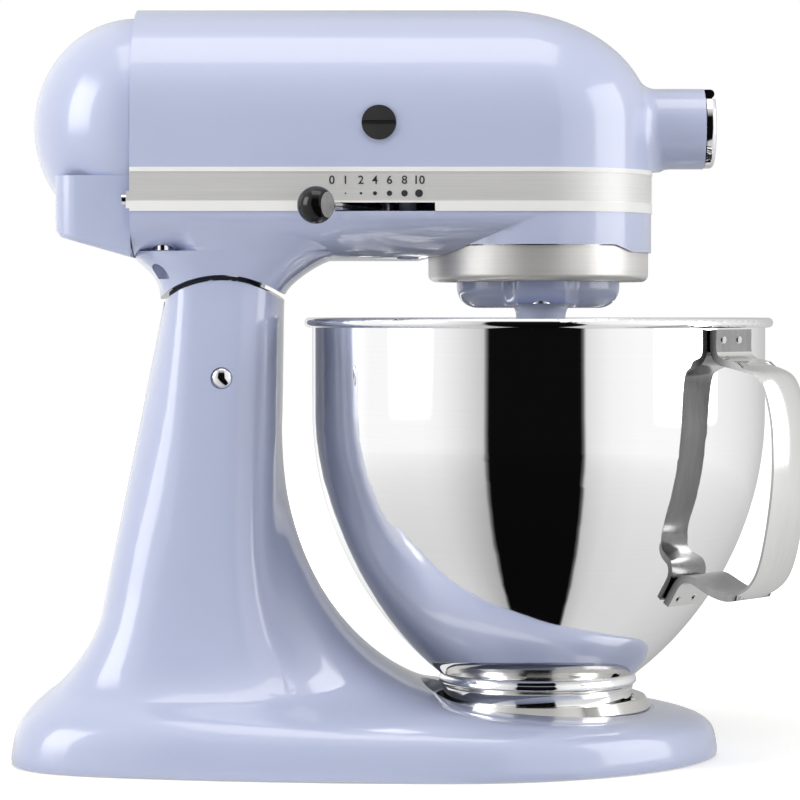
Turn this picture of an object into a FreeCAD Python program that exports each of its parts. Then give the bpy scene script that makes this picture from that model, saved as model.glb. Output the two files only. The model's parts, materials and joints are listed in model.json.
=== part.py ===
import FreeCAD, Part
import math
import os
import Sketcher

V = FreeCAD.Vector

# Driving sizes in mm, degrees or counts, one alias each
SIZES = {
    # Shared axes
    "axis_x": 64.5,
    "motor_z": 299.5,
    "hinge_x": -84.8,
    "hinge_z": 181.3,
    "running_gap": 0.06,
    # Pedestal
    "base_bottom": 0.8,
    "base_nose_x": 150.5,
    "base_tail_x": -185.4,
    "base_half_width": 98.8,
    "deck_z": 22.0,
    "column_mid_x": -90.0,
    "column_half_width": 42.0,
    "column_wall": 6.0,
    "dome_radius": 45.5,
    "seam_gap": 2.5,
    "lug_half_width": 22.0,
    # Feet
    "foot_radius": 10.0,
    "foot_height": 4.0,
    # Bowl and its clamp
    "clamp_radius": 54.3,
    "clamp_height": 6.0,
    "clamp_floor": 2.0,
    "bowl_radius": 108.3,
    "bowl_wall": 1.2,
    "bowl_top": 209.3,
    "bowl_straight_z": 165.0,
    "bowl_arc": 160.0,
    "bowl_bottom_z": 40.0,
    "rim_bead": 2.3,
    "bowl_foot_radius": 45.0,
    "handle_angle": -39.5,
    "handle_width": 29.0,
    "handle_thick": 3.4,
    "handle_reach": 36.5,
    # Head
    "head_half_width": 54.0,
    "head_top": 356.0,
    "head_rear_x": -126.6,
    "nose_start_x": 45.0,
    "shell_wall": 4.5,
    "split_z": 266.0,
    "band_low_z": 258.7,
    "band_high_z": 279.0,
    "band_thick": 1.6,
    "band_edge": 2.1,
    "arm_bottom_z": 236.5,
    "front_bottom_z": 243.5,
    "cover_rear_x": -176.4,
    "cover_radius": 52.6,
    # Hub for attachments
    "hub_radius": 19.2,
    "hub_bore": 13.6,
    "hub_end_x": 143.3,
    "hub_cap_thick": 4.5,
    # Planetary
    "drip_radius": 52.6,
    "drip_low_z": 226.4,
    "drip_high_z": 243.0,
    "planet_offset": 30.0,
    "planet_post_radius": 11.75,
    "planet_disc_radius": 39.0,
    "planet_low_z": 214.0,
    "beater_radius": 6.3,
    "beater_low_z": 152.0,
    # Gear train
    "ring_teeth": 64,
    "pinion_teeth": 16,
    "planet_module": 1.25,
    "centre_teeth": 40,
    "drive_teeth": 16,
    "drive_module": 1.5,
    "worm_starts": 3,
    "wheel_teeth": 30,
    "worm_module": 1.2,
    "worm_pitch_radius": 6.0,
    "bevel_teeth": 16,
    "bevel_module": 1.5,
    "tooth_thinning": 0.35,
    # Motor
    "brush_x": -11.4,
    "stator_radius": 43.0,
    "rotor_radius": 18.5,
    "motor_shaft_radius": 4.0,
    # Speed lever
    "lever_x": -8.6,
    "lever_y": -14.0,
    "lever_z": 260.65,
    "lever_rest": 26.4,
    "lever_length": 70.2,
    "knob_radius": 8.6,
}

doc = FreeCAD.newDocument("stand_mixer")
sheet = doc.addObject("Spreadsheet::Sheet", "Sizes")
for row, (alias, number) in enumerate(SIZES.items(), start=1):
    sheet.set("A%d" % row, alias)
    sheet.set("B%d" % row, str(number))
    sheet.setAlias("B%d" % row, alias)
doc.recompute()


class Size(float):
    """A number from the sheet together with the expression that gives it."""

    def __new__(cls, number, text):
        made = float.__new__(cls, number)
        made.text = text
        return made

    def __add__(self, other):
        return Size(float(self) + float(other), "(%s + %s)" % (self.text, words(other)))

    def __radd__(self, other):
        return Size(float(other) + float(self), "(%s + %s)" % (words(other), self.text))

    def __sub__(self, other):
        return Size(float(self) - float(other), "(%s - %s)" % (self.text, words(other)))

    def __rsub__(self, other):
        return Size(float(other) - float(self), "(%s - %s)" % (words(other), self.text))

    def __mul__(self, other):
        return Size(float(self) * float(other), "(%s * %s)" % (self.text, words(other)))

    __rmul__ = __mul__

    def __truediv__(self, other):
        return Size(float(self) / float(other), "(%s / %s)" % (self.text, words(other)))

    def __neg__(self):
        return Size(-float(self), "(0 - %s)" % self.text)


def words(number):
    """The expression text of a size or a plain number."""
    if isinstance(number, Size):
        return number.text
    return "(%.6f)" % float(number)


class Sizes:
    """Sheet cells by alias."""

    def __getattr__(self, alias):
        return Size(float(sheet.get(alias)), "Sizes." + alias)


s = Sizes()
NODES = {}
TURN = {
    "Z": FreeCAD.Rotation(),
    "X": FreeCAD.Rotation(V(0, 1, 0), 90),
    "Y": FreeCAD.Rotation(V(1, 0, 0), -90),
    "-Z": FreeCAD.Rotation(V(1, 0, 0), 180),
    "-Y": FreeCAD.Rotation(V(1, 0, 0), 90),
}


def bind(made, prop, number):
    """Set one property from a size, by expression where it comes from the sheet."""
    if isinstance(number, Size):
        made.setExpression(prop, number.text)
    elif prop.startswith("Placement.Base."):
        made.setExpression(prop, "%.6f" % number)
    else:
        setattr(made, prop, number)


def place(made, at, axis):
    """Put an object's own origin at a point, with its Z along an axis."""
    made.Placement = FreeCAD.Placement(V(*[float(c) for c in at]), TURN[axis])
    for name, number in zip("xyz", at):
        bind(made, "Placement.Base." + name, number)


def node(label, made):
    """Record a finished sub-part under its node name."""
    made.Label = label
    NODES[label] = made
    return made


def cylinder(name, radius, length, at, axis="Z"):
    made = doc.addObject("Part::Cylinder", name)
    bind(made, "Radius", radius)
    bind(made, "Height", length)
    place(made, at, axis)
    return made


def box(name, size, at):
    made = doc.addObject("Part::Box", name)
    for prop, number in zip(("Length", "Width", "Height"), size):
        bind(made, prop, number)
    place(made, at, "Z")
    return made


def fused(name, parts):
    made = doc.addObject("Part::MultiFuse", name)
    made.Shapes = parts
    made.Refine = True
    return made


def cut(name, base, tools):
    made = doc.addObject("Part::Cut", name)
    made.Base = base
    made.Tool = tools[0] if len(tools) == 1 else fused(name + "_tools", tools)
    made.Refine = True
    return made


def group(name, parts):
    made = doc.addObject("Part::Compound", name)
    made.Links = parts
    return made


def solid(name, shape):
    """A shape built in code from sheet values, kept as one object."""
    made = doc.addObject("Part::Feature", name)
    made.Shape = shape
    return made


def outline_sketch(body, outline):
    """A closed outline of lines and arcs on the body's XZ plane, each corner bound to the sheet."""
    plane = [f for f in body.Origin.OriginFeatures if f.Role == "XZ_Plane"][0]
    sketch = body.newObject("Sketcher::SketchObject", body.Name + "_outline")
    sketch.AttachmentSupport = [(plane, "")]
    sketch.MapMode = "FlatFace"
    count = len(outline)
    ends = []
    for i, corner in enumerate(outline):
        p = V(float(corner[0]), float(corner[1]), 0)
        q = V(float(outline[(i + 1) % count][0]), float(outline[(i + 1) % count][1]), 0)
        if len(corner) == 3:
            geo = sketch.addGeometry(bulged(p, q, float(corner[2])))
        else:
            geo = sketch.addGeometry(Part.LineSegment(p, q))
        first = 1 if (sketch.getPoint(geo, 1) - p).Length < 1e-6 else 2
        ends.append((geo, first, 3 - first))
    for i, (geo, first, last) in enumerate(ends):
        nxt = ends[(i + 1) % count]
        sketch.addConstraint(Sketcher.Constraint("Coincident", geo, last, nxt[0], nxt[1]))
    for corner, (geo, first, last) in zip(outline, ends):
        for kind, number, line in (("DistanceX", corner[0], -2), ("DistanceY", corner[1], -1)):
            if abs(float(number)) < 1e-9:
                sketch.addConstraint(Sketcher.Constraint("PointOnObject", geo, first, line))
                continue
            rule = sketch.addConstraint(Sketcher.Constraint(kind, -1, 1, geo, first, float(number)))
            if isinstance(number, Size):
                sketch.setExpression("Constraints[%d]" % rule, number.text)
        if len(corner) == 3:
            rule = sketch.addConstraint(Sketcher.Constraint("Radius", geo, abs(float(corner[2]))))
            if isinstance(corner[2], Size):
                sketch.setExpression("Constraints[%d]" % rule, "abs(%s)" % corner[2].text)
    return sketch


def bulged(p, q, radius):
    """The short arc from p to q; a positive radius bulges to the right of the way from p to q."""
    chord = q - p
    half = chord.Length / 2
    side = V(chord.y, -chord.x, 0).normalize()
    rise = abs(radius) - math.sqrt(max(radius * radius - half * half, 0.0))
    return Part.Arc(p, (p + q) * 0.5 + side * math.copysign(rise, radius), q)


def turned(name, outline, at, axis="Z"):
    """A body of revolution from (radius, height[, arc radius to the next corner]) corners."""
    body = doc.addObject("PartDesign::Body", name)
    sketch = outline_sketch(body, outline)
    doc.recompute()
    spin = body.newObject("PartDesign::Revolution", name + "_turn")
    spin.Profile = sketch
    spin.ReferenceAxis = (sketch, ["V_Axis"])
    spin.Angle = 360
    place(body, at, axis)
    return body


def blend(front, side, rear, angle):
    """A value that goes from front to side to rear as the direction turns."""
    c = math.cos(angle)
    if c > 0:
        return front * c * c + side * (1 - c * c)
    return rear * c * c + side * (1 - c * c)


def bezier(points, t):
    """A point on a cubic through four control points."""
    u = 1 - t
    a, b, c, d = points
    w = (u ** 3, 3 * u * u * t, 3 * u * t * t, t ** 3)
    return tuple(w[0] * a[k] + w[1] * b[k] + w[2] * c[k] + w[3] * d[k] for k in (0, 1))


def oval_reach(front, side, rear, power, angle):
    """Distance from the middle to a rounded box in a direction."""
    c, q = math.cos(angle), math.sin(angle)
    along = front if c > 0 else rear
    return ((abs(c) / along) ** power + (abs(q) / side) ** power) ** (-1.0 / power)


def base_half_width(x):
    """Half the width of the base plan at a station along X."""
    mid = 25.0
    wide = s.base_half_width
    if x >= mid:
        k = (x - mid) / (s.base_nose_x - mid)
        return wide * max(1 - k ** 1.9, 0.0) ** (1 / 1.9)
    k = (mid - x) / (mid - s.base_tail_x)
    taper = 1 - 0.31 * k * k
    return wide * taper * max(1 - k ** 14, 0.0) ** 0.25


def base_reach(angle):
    """Distance from the column middle to the base outline in a direction."""
    low, high = 10.0, 300.0
    for _ in range(50):
        r = (low + high) / 2
        x = s.column_mid_x + r * math.cos(angle)
        y = r * math.sin(angle)
        inside = s.base_tail_x < x < s.base_nose_x and abs(y) < base_half_width(x)
        low, high = (r, high) if inside else (low, r)
    return low


def pedestal_profile(angle, wall):
    """Points down the column, along the deck and over the edge in one direction."""
    half = s.column_half_width - wall
    top = (oval_reach(32.5 - wall, half, 22.0 - wall, 3.6, angle), s.dome_radius + s.hinge_z)
    knee_z = blend(161.0, 98.0, 63.2, angle)
    knee = (oval_reach(31.4 - wall, half + 8.0, 55.0 - wall, 3.0, angle), knee_z)
    reach = base_reach(angle) - wall
    mid_r = knee[0] + blend(0.60, 0.50, 0.53, angle) * (reach - knee[0])
    turn = math.cos(angle)
    rise = 10.1 - 8.6 * max(turn, 0.0) ** 8.3 + 2.0 * min(turn, 0.0) ** 2
    mid_z = s.deck_z + rise - 0.8 * wall
    lean = math.radians(blend(0.0, 34.0, 38.3, angle))
    slope = (math.cos(lean), -math.sin(lean))
    fall = (knee[0] - top[0], knee[1] - top[1])
    fall_length = math.hypot(*fall)
    fall = (fall[0] / fall_length, fall[1] / fall_length)
    drop = knee[1] - mid_z
    run = mid_r - knee[0]
    down = blend(0.606, 0.58, 0.304, angle) * drop
    back = blend(0.627, 0.55, 0.329, angle) * run
    one = (knee[0] + fall[0] * down, knee[1] + fall[1] * down)
    two = (mid_r - slope[0] * back, mid_z - slope[1] * back)
    out = blend(0.957, 0.66, 0.602, angle) * (reach - mid_r)
    foot = s.base_bottom if wall == 0 else -1.0
    three = (mid_r + slope[0] * out, mid_z + slope[1] * out)
    four = (reach, foot + blend(0.895, 0.74, 0.614, angle) * (mid_z - foot))
    points = []
    for i in range(6):
        k = i / 6.0
        points.append((top[0] + (knee[0] - top[0]) * k, top[1] + (knee[1] - top[1]) * k))
    for i in range(9):
        points.append(bezier((knee, one, two, (mid_r, mid_z)), i / 9.0))
    for i in range(10):
        points.append(bezier(((mid_r, mid_z), three, four, (reach, foot)), i / 9.0))
    return points


def skin_solid(grids, lids):
    """A solid closed from surfaces through point grids and flat lids on their end rows."""
    faces = []
    for grid in grids:
        skin = Part.BSplineSurface()
        skin.interpolate(grid)
        faces.append(skin.toShape())
    shell = Part.makeShell(faces)
    shell.sewShape()
    for z in lids:
        rim = [e for e in shell.Edges if max(abs(e.BoundBox.ZMin - z), abs(e.BoundBox.ZMax - z)) < 1e-4]
        faces.append(Part.Face(Part.Wire(Part.__sortEdges__(rim))))
    shell = Part.makeShell(faces)
    shell.sewShape()
    made = Part.makeSolid(Part.makeShell(shell.Faces))
    if made.Volume < 0:
        made.reverse()
    return made


def pedestal_skin(wall):
    """The pedestal form, or the hollow inside it at a wall thickness."""
    steps = 48
    grids = []
    for side in (1, -1):
        grid = []
        for i in range(steps + 1):
            angle = math.pi * i / steps
            row = []
            for r, z in pedestal_profile(angle, wall):
                row.append(V(s.column_mid_x + r * math.cos(angle), side * r * math.sin(angle), z))
            grid.append(row)
        grids.append(grid)
    foot = float(s.base_bottom) if wall == 0 else -1.0
    return skin_solid(grids, [float(s.dome_radius + s.hinge_z), foot])


def above_dome(radius):
    """All the room above a cylinder about the hinge."""
    room = Part.makeBox(120, 200, 80, V(s.hinge_x - 60, -100, s.hinge_z + 12))
    drum = Part.makeCylinder(radius, 200, V(s.hinge_x, -100, s.hinge_z), V(0, 1, 0))
    return room.cut(drum)


def bored_group(name, spots, make):
    """One group object made of the same piece at several spots."""
    return group(name, [make("%s_%d" % (name, i), spot) for i, spot in enumerate(spots)])


def screw(name, head_radius, head_height, shank_radius, shank_length, at, axis):
    """A low round head with its shank, head seat at the point, shank along the axis."""
    x, y, z = at
    step = {"Z": (0, 0, -1), "-Z": (0, 0, 1), "X": (-1, 0, 0), "Y": (0, -1, 0), "-Y": (0, 1, 0)}[axis]
    top = (x + step[0] * head_height, y + step[1] * head_height, z + step[2] * head_height)
    head = cylinder(name + "_head", head_radius, head_height, top, axis)
    shank = cylinder(name + "_shank", shank_radius, shank_length, at, axis)
    return fused(name, [head, shank])


FOOT_SPOTS = [(-160.0, 46.0), (-160.0, -46.0), (30.0, 74.0), (30.0, -74.0), (128.0, 0.0)]
CLAMP_SPOTS = [(30.0 * math.cos(a), 30.0 * math.sin(a)) for a in (0.785, 2.356, 3.927, 5.498)]
HOUSING_SPOTS = [(-112.4, 36.0), (-112.4, -36.0), (2.0, 20.0), (2.0, -20.0)]
PIN_RADIUS = 5.1
LOCK_X, LOCK_Z = -78.0, 146.0
BOWL_GAP = 1.0


def bowl_room():
    """Room that the pedestal leaves round the bowl."""
    low, straight, top = float(s.bowl_bottom_z), float(s.bowl_straight_z), float(s.bowl_top) + BOWL_GAP
    levels = [low + (straight - low) * i / 16 for i in range(17)]
    edge = [(bowl_reach(z) + BOWL_GAP, z) for z in levels]
    rim = float(s.bowl_radius + 1.4 + s.rim_bead) + BOWL_GAP
    outline = [(0, low - 10), (edge[0][0], low - 10)] + edge + [(rim, straight + 10), (rim, top), (0, top)]
    points = [V(s.axis_x + r, 0, z) for r, z in outline]
    return Part.Face(Part.makePolygon(points + points[:1])).revolve(V(s.axis_x, 0, 0), V(0, 0, 1), 360)


def build_pedestal():
    """Hollow cast column and base with seats for the clamp, the feet, the hinge pin and the lock."""
    skin = pedestal_skin(0.0)
    hollow = pedestal_skin(float(s.column_wall)).cut(above_dome(float(s.dome_radius - s.column_wall)))
    for x, y in FOOT_SPOTS:
        hollow = hollow.cut(Part.makeCylinder(12.0, 60.0, V(x, y, s.foot_height)))
    hollow = hollow.cut(Part.makeCylinder(s.clamp_radius + 1.7, 60.0, V(s.axis_x, 0, 8.0)))
    skin = skin.cut(above_dome(float(s.dome_radius))).cut(hollow)
    seat = Part.makeCylinder(s.clamp_radius + 1.7, s.deck_z - 8.0, V(s.axis_x, 0, 8.0))
    # Low rib on the dome that closes the seam under the neck
    rib = Part.Face(neck_wire(23.4, 40.0, 21.6, s.hinge_z + 12)).extrude(V(0, 0, 60))
    rib = rib.cut(above_dome(float(s.dome_radius + s.seam_gap) - 0.4))
    inside = Part.makeCylinder(s.dome_radius - 1.5, 200, V(s.hinge_x, -100, s.hinge_z), V(0, 1, 0))
    shell = solid("pedestal_shell", skin.fuse([seat, rib.cut(inside)]).removeSplitter())
    over = cylinder("over_seat", s.clamp_radius + 1.7, 80, (s.axis_x, 0, s.deck_z))
    pin = cylinder("pin_hole", PIN_RADIUS, 120, (s.hinge_x, -60, s.hinge_z), "Y")
    slot = box("lug_slot", (48.7, s.lug_half_width * 2 + 5, 60),
               (s.hinge_x - 28.4, -s.lug_half_width - 2.5, s.hinge_z + 20))
    lock = cylinder("lock_hole", 4.0 + s.running_gap, 40, (LOCK_X, 25, LOCK_Z), "Y")
    holes = [cylinder("clamp_hole_%d" % i, 2.0, 16, (s.axis_x + x, y, s.deck_z - 12))
             for i, (x, y) in enumerate(CLAMP_SPOTS)]
    room = solid("bowl_room", bowl_room())
    node("base_pedestal", cut("base_pedestal", shell, [over, room, pin, slot, lock] + holes))
    node("base_feet", bored_group("base_feet", FOOT_SPOTS, lambda n, p: cylinder(
        n, s.foot_radius, s.foot_height, (p[0], p[1], 0))))
    reach = 45.4
    node("hinge_pin", turned("hinge_pin", [
        (0, 0), (0.8, 0, 7.5), (PIN_RADIUS, 1.9), (PIN_RADIUS, reach * 2 - 1.9, 7.5), (0.8, reach * 2),
        (0, reach * 2)],
        (s.hinge_x, -reach, s.hinge_z), "Y"))


def build_lock():
    """Head lock on the far side of the column: a shaft with a finger inside and a lever outside."""
    shaft = cylinder("lock_rod", 4.0, 24, (LOCK_X, 27, LOCK_Z), "Y")
    collar = cylinder("lock_collar", 6.0, 4, (LOCK_X, 27, LOCK_Z), "Y")
    finger = box("lock_finger", (6, 4, 16), (LOCK_X - 3, 27, LOCK_Z))
    node("lock_shaft", fused("lock_shaft", [shaft, collar, finger]))
    hub = cylinder("lock_hub", 8.0, 8, (LOCK_X, 48.2, LOCK_Z), "Y")
    arm = box("lock_arm", (28, 5, 9), (LOCK_X - 28, 51.2, LOCK_Z - 4.5))
    tip = cylinder("lock_tip", 6.5, 8, (LOCK_X - 29, 51.2, LOCK_Z), "Y")
    seat = cylinder("lock_seat", 4.0, 2.8, (LOCK_X, 48.2, LOCK_Z), "Y")
    node("lock_lever", cut("lock_lever", fused("lock_form", [hub, arm, tip]), [seat]))


def ring_sector(inner, outer, low, high, middle, half_angle):
    """A piece of a flat ring about the bowl axis."""
    made = Part.makeCylinder(outer, high - low, V(0, 0, low), V(0, 0, 1), 2 * half_angle)
    made = made.cut(Part.makeCylinder(inner, high - low, V(0, 0, low)))
    made.rotate(V(0, 0, 0), V(0, 0, 1), middle - half_angle)
    made.translate(V(s.axis_x, 0, 0))
    return made


def build_clamp():
    """Screwed plate on the base with three lips that hold the tabs of the bowl foot."""
    low, rise, wide = s.deck_z, s.clamp_height, s.clamp_radius
    cup = turned("clamp_cup", [
        (0, 0), (wide, 0), (wide, 1.6), (wide - 2.6, rise), (wide - 5.3, rise),
        (wide - 5.3, s.clamp_floor), (0, s.clamp_floor)], (s.axis_x, 0, low))
    lips = [solid("clamp_lip_%d" % i, ring_sector(
        wide - 8.0, wide - 5.0, low + 4.4, low + rise, 120 * i, 20)) for i in range(3)]
    holes = [cylinder("plate_hole_%d" % i, 2.0, 10, (s.axis_x + x, y, low - 2))
             for i, (x, y) in enumerate(CLAMP_SPOTS)]
    node("bowl_clamp_plate", cut("bowl_clamp_plate", fused("clamp_plate", [cup] + lips), holes))
    node("clamp_plate_screws", bored_group("clamp_plate_screws", CLAMP_SPOTS, lambda n, p: screw(
        n, 3.6, 2.0, 2.0, 11.0, (s.axis_x + p[0], p[1], low + s.clamp_floor), "-Z")))


def root(number):
    """Square root that keeps its expression."""
    return Size(math.sqrt(float(number)), "sqrt(%s)" % words(number))


def build_bowl():
    """Polished bowl with a rolled rim, a foot with three tabs and a strap handle."""
    drop = s.bowl_straight_z - s.bowl_bottom_z
    low_r = s.bowl_radius - s.bowl_arc + root(s.bowl_arc * s.bowl_arc - drop * drop)
    inner_arc = s.bowl_arc - s.bowl_wall
    in_r = s.bowl_radius - s.bowl_arc + root(inner_arc * inner_arc - drop * drop)
    zb, wall = s.bowl_bottom_z, s.bowl_wall
    bead, bead_z = s.rim_bead, s.bowl_top - s.rim_bead
    bead_r = s.bowl_radius + 1.4
    meet = root(bead * bead - 1.4 * 1.4)
    node("mixing_bowl", turned("mixing_bowl", [
        (0, zb - 4), (low_r - 4.2, zb - 4), (low_r, zb, s.bowl_arc), (s.bowl_radius, s.bowl_straight_z),
        (s.bowl_radius, bead_z - meet, bead), (bead_r + bead, bead_z, bead), (bead_r, bead_z + bead, bead),
        (bead_r - bead, bead_z), (s.bowl_radius - wall, bead_z - 0.6),
        (s.bowl_radius - wall, s.bowl_straight_z, -inner_arc),
        (in_r, zb), (in_r - 4.2 + wall / 2, zb - 4 + wall), (0, zb - 4 + wall)], (s.axis_x, 0, 0)))
    rest = s.deck_z + s.clamp_floor + 0.1
    wide = s.bowl_foot_radius
    ax, az = low_r - 4.2, zb - 4
    bx, bz = ax + 2.6, az + 2.6 * 4 / 4.2
    bead, bead_z = 1.3, rest + 11.2
    out = wide + 1.1 + bead
    shoulder = root((out - bx) * (out - bx) + (bz - bead_z) * (bz - bead_z)) * 1.22
    band = turned("foot_band", [
        (wide - 2.6, rest), (wide + 0.4, rest), (wide + 0.4, rest + 2.6, -14.0), (wide + 1.1, bead_z - bead),
        (out, bead_z, shoulder), (bx, bz), (ax, az), (wide - 2.6, az)], (s.axis_x, 0, 0))
    tabs = [solid("foot_tab_%d" % i, ring_sector(
        wide - 0.5, wide + 3.4, rest + 0.1, rest + 2.0, 120 * i, 18)) for i in range(3)]
    node("bowl_foot", fused("bowl_foot", [band] + tabs))
    build_handle()


def bowl_reach(z):
    """Outer radius of the bowl wall at a height."""
    if z >= s.bowl_straight_z:
        return float(s.bowl_radius)
    fall = s.bowl_straight_z - z
    return float(s.bowl_radius - s.bowl_arc) + math.sqrt(s.bowl_arc * s.bowl_arc - fall * fall)


def build_handle():
    """Bent strap with a tab on the wall at each end and two weld buttons on each tab."""
    half = s.handle_thick / 2
    far = s.bowl_radius + s.handle_reach - half
    top = s.bowl_top
    wall_r = s.bowl_radius
    path = [(bowl_reach(top - fall) + 1.2 * half, top - fall) for fall in (131.8, 128.8, 125.8)]
    # Lower bend away from the wall
    for away, fall in ((-17.9, 122.1), (-14.7, 119.7), (-11.1, 119.3), (-7.3, 120.7), (-2.3, 123.3),
                       (3.7, 125.7), (10.2, 126.6)):
        path.append((wall_r + away, top - fall))
    # Grip
    for short, fall in ((19.0, 125.3), (13.5, 122.1), (9.5, 116.9), (6.8, 110.3), (4.1, 99.3), (1.6, 84.5),
                        (0.2, 71.3), (0.0, 61.3), (0.8, 47.3), (3.4, 35.3), (5.8, 29.3), (8.8, 25.4),
                        (13.2, 23.4), (20.0, 21.8)):
        path.append((far - short, top - fall))
    # Upper bend back to the wall
    for away, fall in ((8.7, 20.5), (4.9, 19.4), (2.6, 17.3), (half, 13.8), (half, 9.8), (half, 5.3)):
        path.append((wall_r + away, top - fall))
    line = Part.BSplineCurve()
    line.interpolate([V(r, 0, z) for r, z in path])
    outer, inner = [], []
    count = 110
    for i in range(count + 1):
        u = line.FirstParameter + (line.LastParameter - line.FirstParameter) * i / count
        way = line.tangent(u)[0]
        out = V(way.z, 0, -way.x)
        outer.append(line.value(u) + out * half)
        inner.append(line.value(u) - out * half)
    edge_a, edge_b = Part.BSplineCurve(), Part.BSplineCurve()
    edge_a.interpolate(outer)
    edge_b.interpolate(inner)
    ends = [Part.makeLine(outer[0], inner[0]), Part.makeLine(outer[-1], inner[-1])]
    rim = Part.Wire(Part.__sortEdges__([edge_a.toShape(), edge_b.toShape()] + ends))
    strap = Part.Face(rim).extrude(V(0, s.handle_width, 0))
    strap.translate(V(0, -s.handle_width / 2, 0))
    buttons = []
    for r, z in (path[1], path[-2]):
        u = line.parameter(V(r, 0, z))
        way = line.tangent(u)[0]
        out = V(way.z, 0, -way.x)
        for side in (-8.6, 4.2):
            spot = line.value(u) + out * half + V(0, side, 0)
            buttons.append(Part.makeCylinder(1.6, 1.0, spot - out * 0.5, out))
    wall = Part.makeCylinder(s.bowl_radius, 200, V(0, 0, s.bowl_straight_z))
    arc_low = V(bowl_reach(60.0), 0, 60.0)
    arc_mid = V(bowl_reach(110.0), 0, 110.0)
    arc_top = V(bowl_reach(s.bowl_straight_z), 0, s.bowl_straight_z)
    side = [Part.Arc(arc_low, arc_mid, arc_top).toShape(),
            Part.makeLine(arc_top, V(0, 0, s.bowl_straight_z)),
            Part.makeLine(V(0, 0, s.bowl_straight_z), V(0, 0, 60.0)), Part.makeLine(V(0, 0, 60.0), arc_low)]
    body = Part.Face(Part.Wire(Part.__sortEdges__(side))).revolve(V(0, 0, 0), V(0, 0, 1), 360)
    strap = strap.cut(body.fuse(wall))
    buttons = [one.cut(strap).Solids[0] for one in buttons]
    spin = FreeCAD.Placement(V(s.axis_x, 0, 0), FreeCAD.Rotation(V(0, 0, 1), float(s.handle_angle)))
    made = solid("bowl_handle", strap)
    made.Placement = spin
    node("bowl_handle", made)
    made = solid("handle_rivets", Part.makeCompound(buttons))
    made.Placement = spin
    node("handle_rivets", made)


def head_slice(half, front_x, rear_x, z):
    """A closed outline with straight sides, a round front and a flat rear."""
    a, b = V(rear_x, half, z), V(front_x, half, z)
    c, d = V(front_x, -half, z), V(rear_x, -half, z)
    edges = [Part.makeLine(a, b), Part.Arc(b, V(front_x + half, 0, z), c).toShape(),
             Part.makeLine(c, d), Part.makeLine(d, a)]
    return Part.Wire(edges)


def head_block(half, low, high, rear_x):
    """The head plan pulled straight up between two heights."""
    return Part.Face(head_slice(half, s.axis_x, rear_x, low)).extrude(V(0, 0, high - low))


def head_dome(inset, low, rear_x):
    """The upper form of the head: straight sides, then a round top that falls to the nose."""
    half = s.head_half_width - inset
    spring = s.head_top - s.head_half_width
    slices = []
    for turn in (0, 4, 9, 15, 22, 30, 38, 46, 54, 62, 70, 77, 83, 87, 88.9):
        k = math.cos(math.radians(turn))
        front = s.nose_start_x + (s.axis_x - s.nose_start_x) * k
        slices.append(head_slice(half * k, front, rear_x, spring + half * math.sin(math.radians(turn))))
    top = Part.makeLoft(slices, True, False)
    return head_block(half, low, spring, rear_x).fuse(top).removeSplitter()


def band_groove():
    """The room taken by the trim band around the head."""
    low, high = float(s.band_low_z), float(s.band_high_z)
    wide = head_block(s.head_half_width + 6, low, high, s.head_rear_x - 20)
    return wide.cut(head_block(s.head_half_width + 0.2 - s.band_thick, low, high, s.head_rear_x - 20))


def across(name, radius, low_y, high_y, x, z):
    return cylinder(name, radius, high_y - low_y, (x, low_y, z), "Y")


def build_upper_housing():
    """Painted upper shell with the hub tube, motor ribs and screw bosses."""
    rear, wall = float(s.head_rear_x), float(s.shell_wall)
    room = head_dome(wall, float(s.split_z) - 1, rear - 1)
    keep = Part.makeCylinder(s.hub_radius, 60, V(86, 0, s.motor_z), V(1, 0, 0))
    stator = s.stator_radius
    for low, high, bore in ((-118, -110, 11.0), (-88, -83, stator), (-58, -53, stator), (2, 10, 11.0)):
        rib = Part.makeBox(high - low, 140, 100, V(low, -70, s.split_z + 18))
        keep = keep.fuse(rib.cut(Part.makeCylinder(bore, 40, V(low - 10, 0, s.motor_z), V(1, 0, 0))))
    for x, y in HOUSING_SPOTS:
        reach = 24.0 if abs(y) > 30 else 12.0
        start = y - 5.5 if y > 0 else y + 5.5 - reach
        keep = keep.fuse(Part.makeBox(13, reach, 26, V(x - 6.5, start, s.split_z)))
    form = head_dome(0.0, float(s.split_z) + 0.15, rear)
    tube = Part.makeCylinder(s.hub_radius, s.hub_end_x - 90, V(90, 0, s.motor_z), V(1, 0, 0))
    form = form.fuse(tube)
    root_edges = [e for e in form.Edges if 100 < e.BoundBox.XMin and e.BoundBox.XMax < s.hub_end_x - 5
                  and e.BoundBox.ZLength > 10]
    form = form.makeFillet(9.0, root_edges)
    shell = solid("upper_shell", form.cut(room.cut(keep)).cut(band_groove()))
    bores = [cylinder("hub_bore_hole", s.hub_bore + 1.6, 60, (104, 0, s.motor_z), "X"),
             cylinder("hub_bush_hole", 9.0, 40, (80, 0, s.motor_z), "X"),
             across("brush_holes", 6.5, -70, 70, s.brush_x, s.motor_z),
             across("knob_hole", 3.0 + s.running_gap, 8, 40, 130, s.motor_z)]
    bores += [cylinder("upper_screw_hole_%d" % i, 2.0, 30, (x, y, s.split_z - 4))
              for i, (x, y) in enumerate(HOUSING_SPOTS)]
    node("upper_housing", cut("upper_housing", shell, bores))


def neck_wire(front, side, rear, z):
    """A rounded outline of the neck at a height."""
    points = []
    for i in range(40):
        angle = 2 * math.pi * i / 40
        r = oval_reach(front, side, rear, 3.6, angle)
        points.append(V(s.column_mid_x + r * math.cos(angle), r * math.sin(angle), z))
    line = Part.BSplineCurve()
    line.interpolate(points, PeriodicFlag=True)
    return Part.Wire([line.toShape()])


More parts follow.
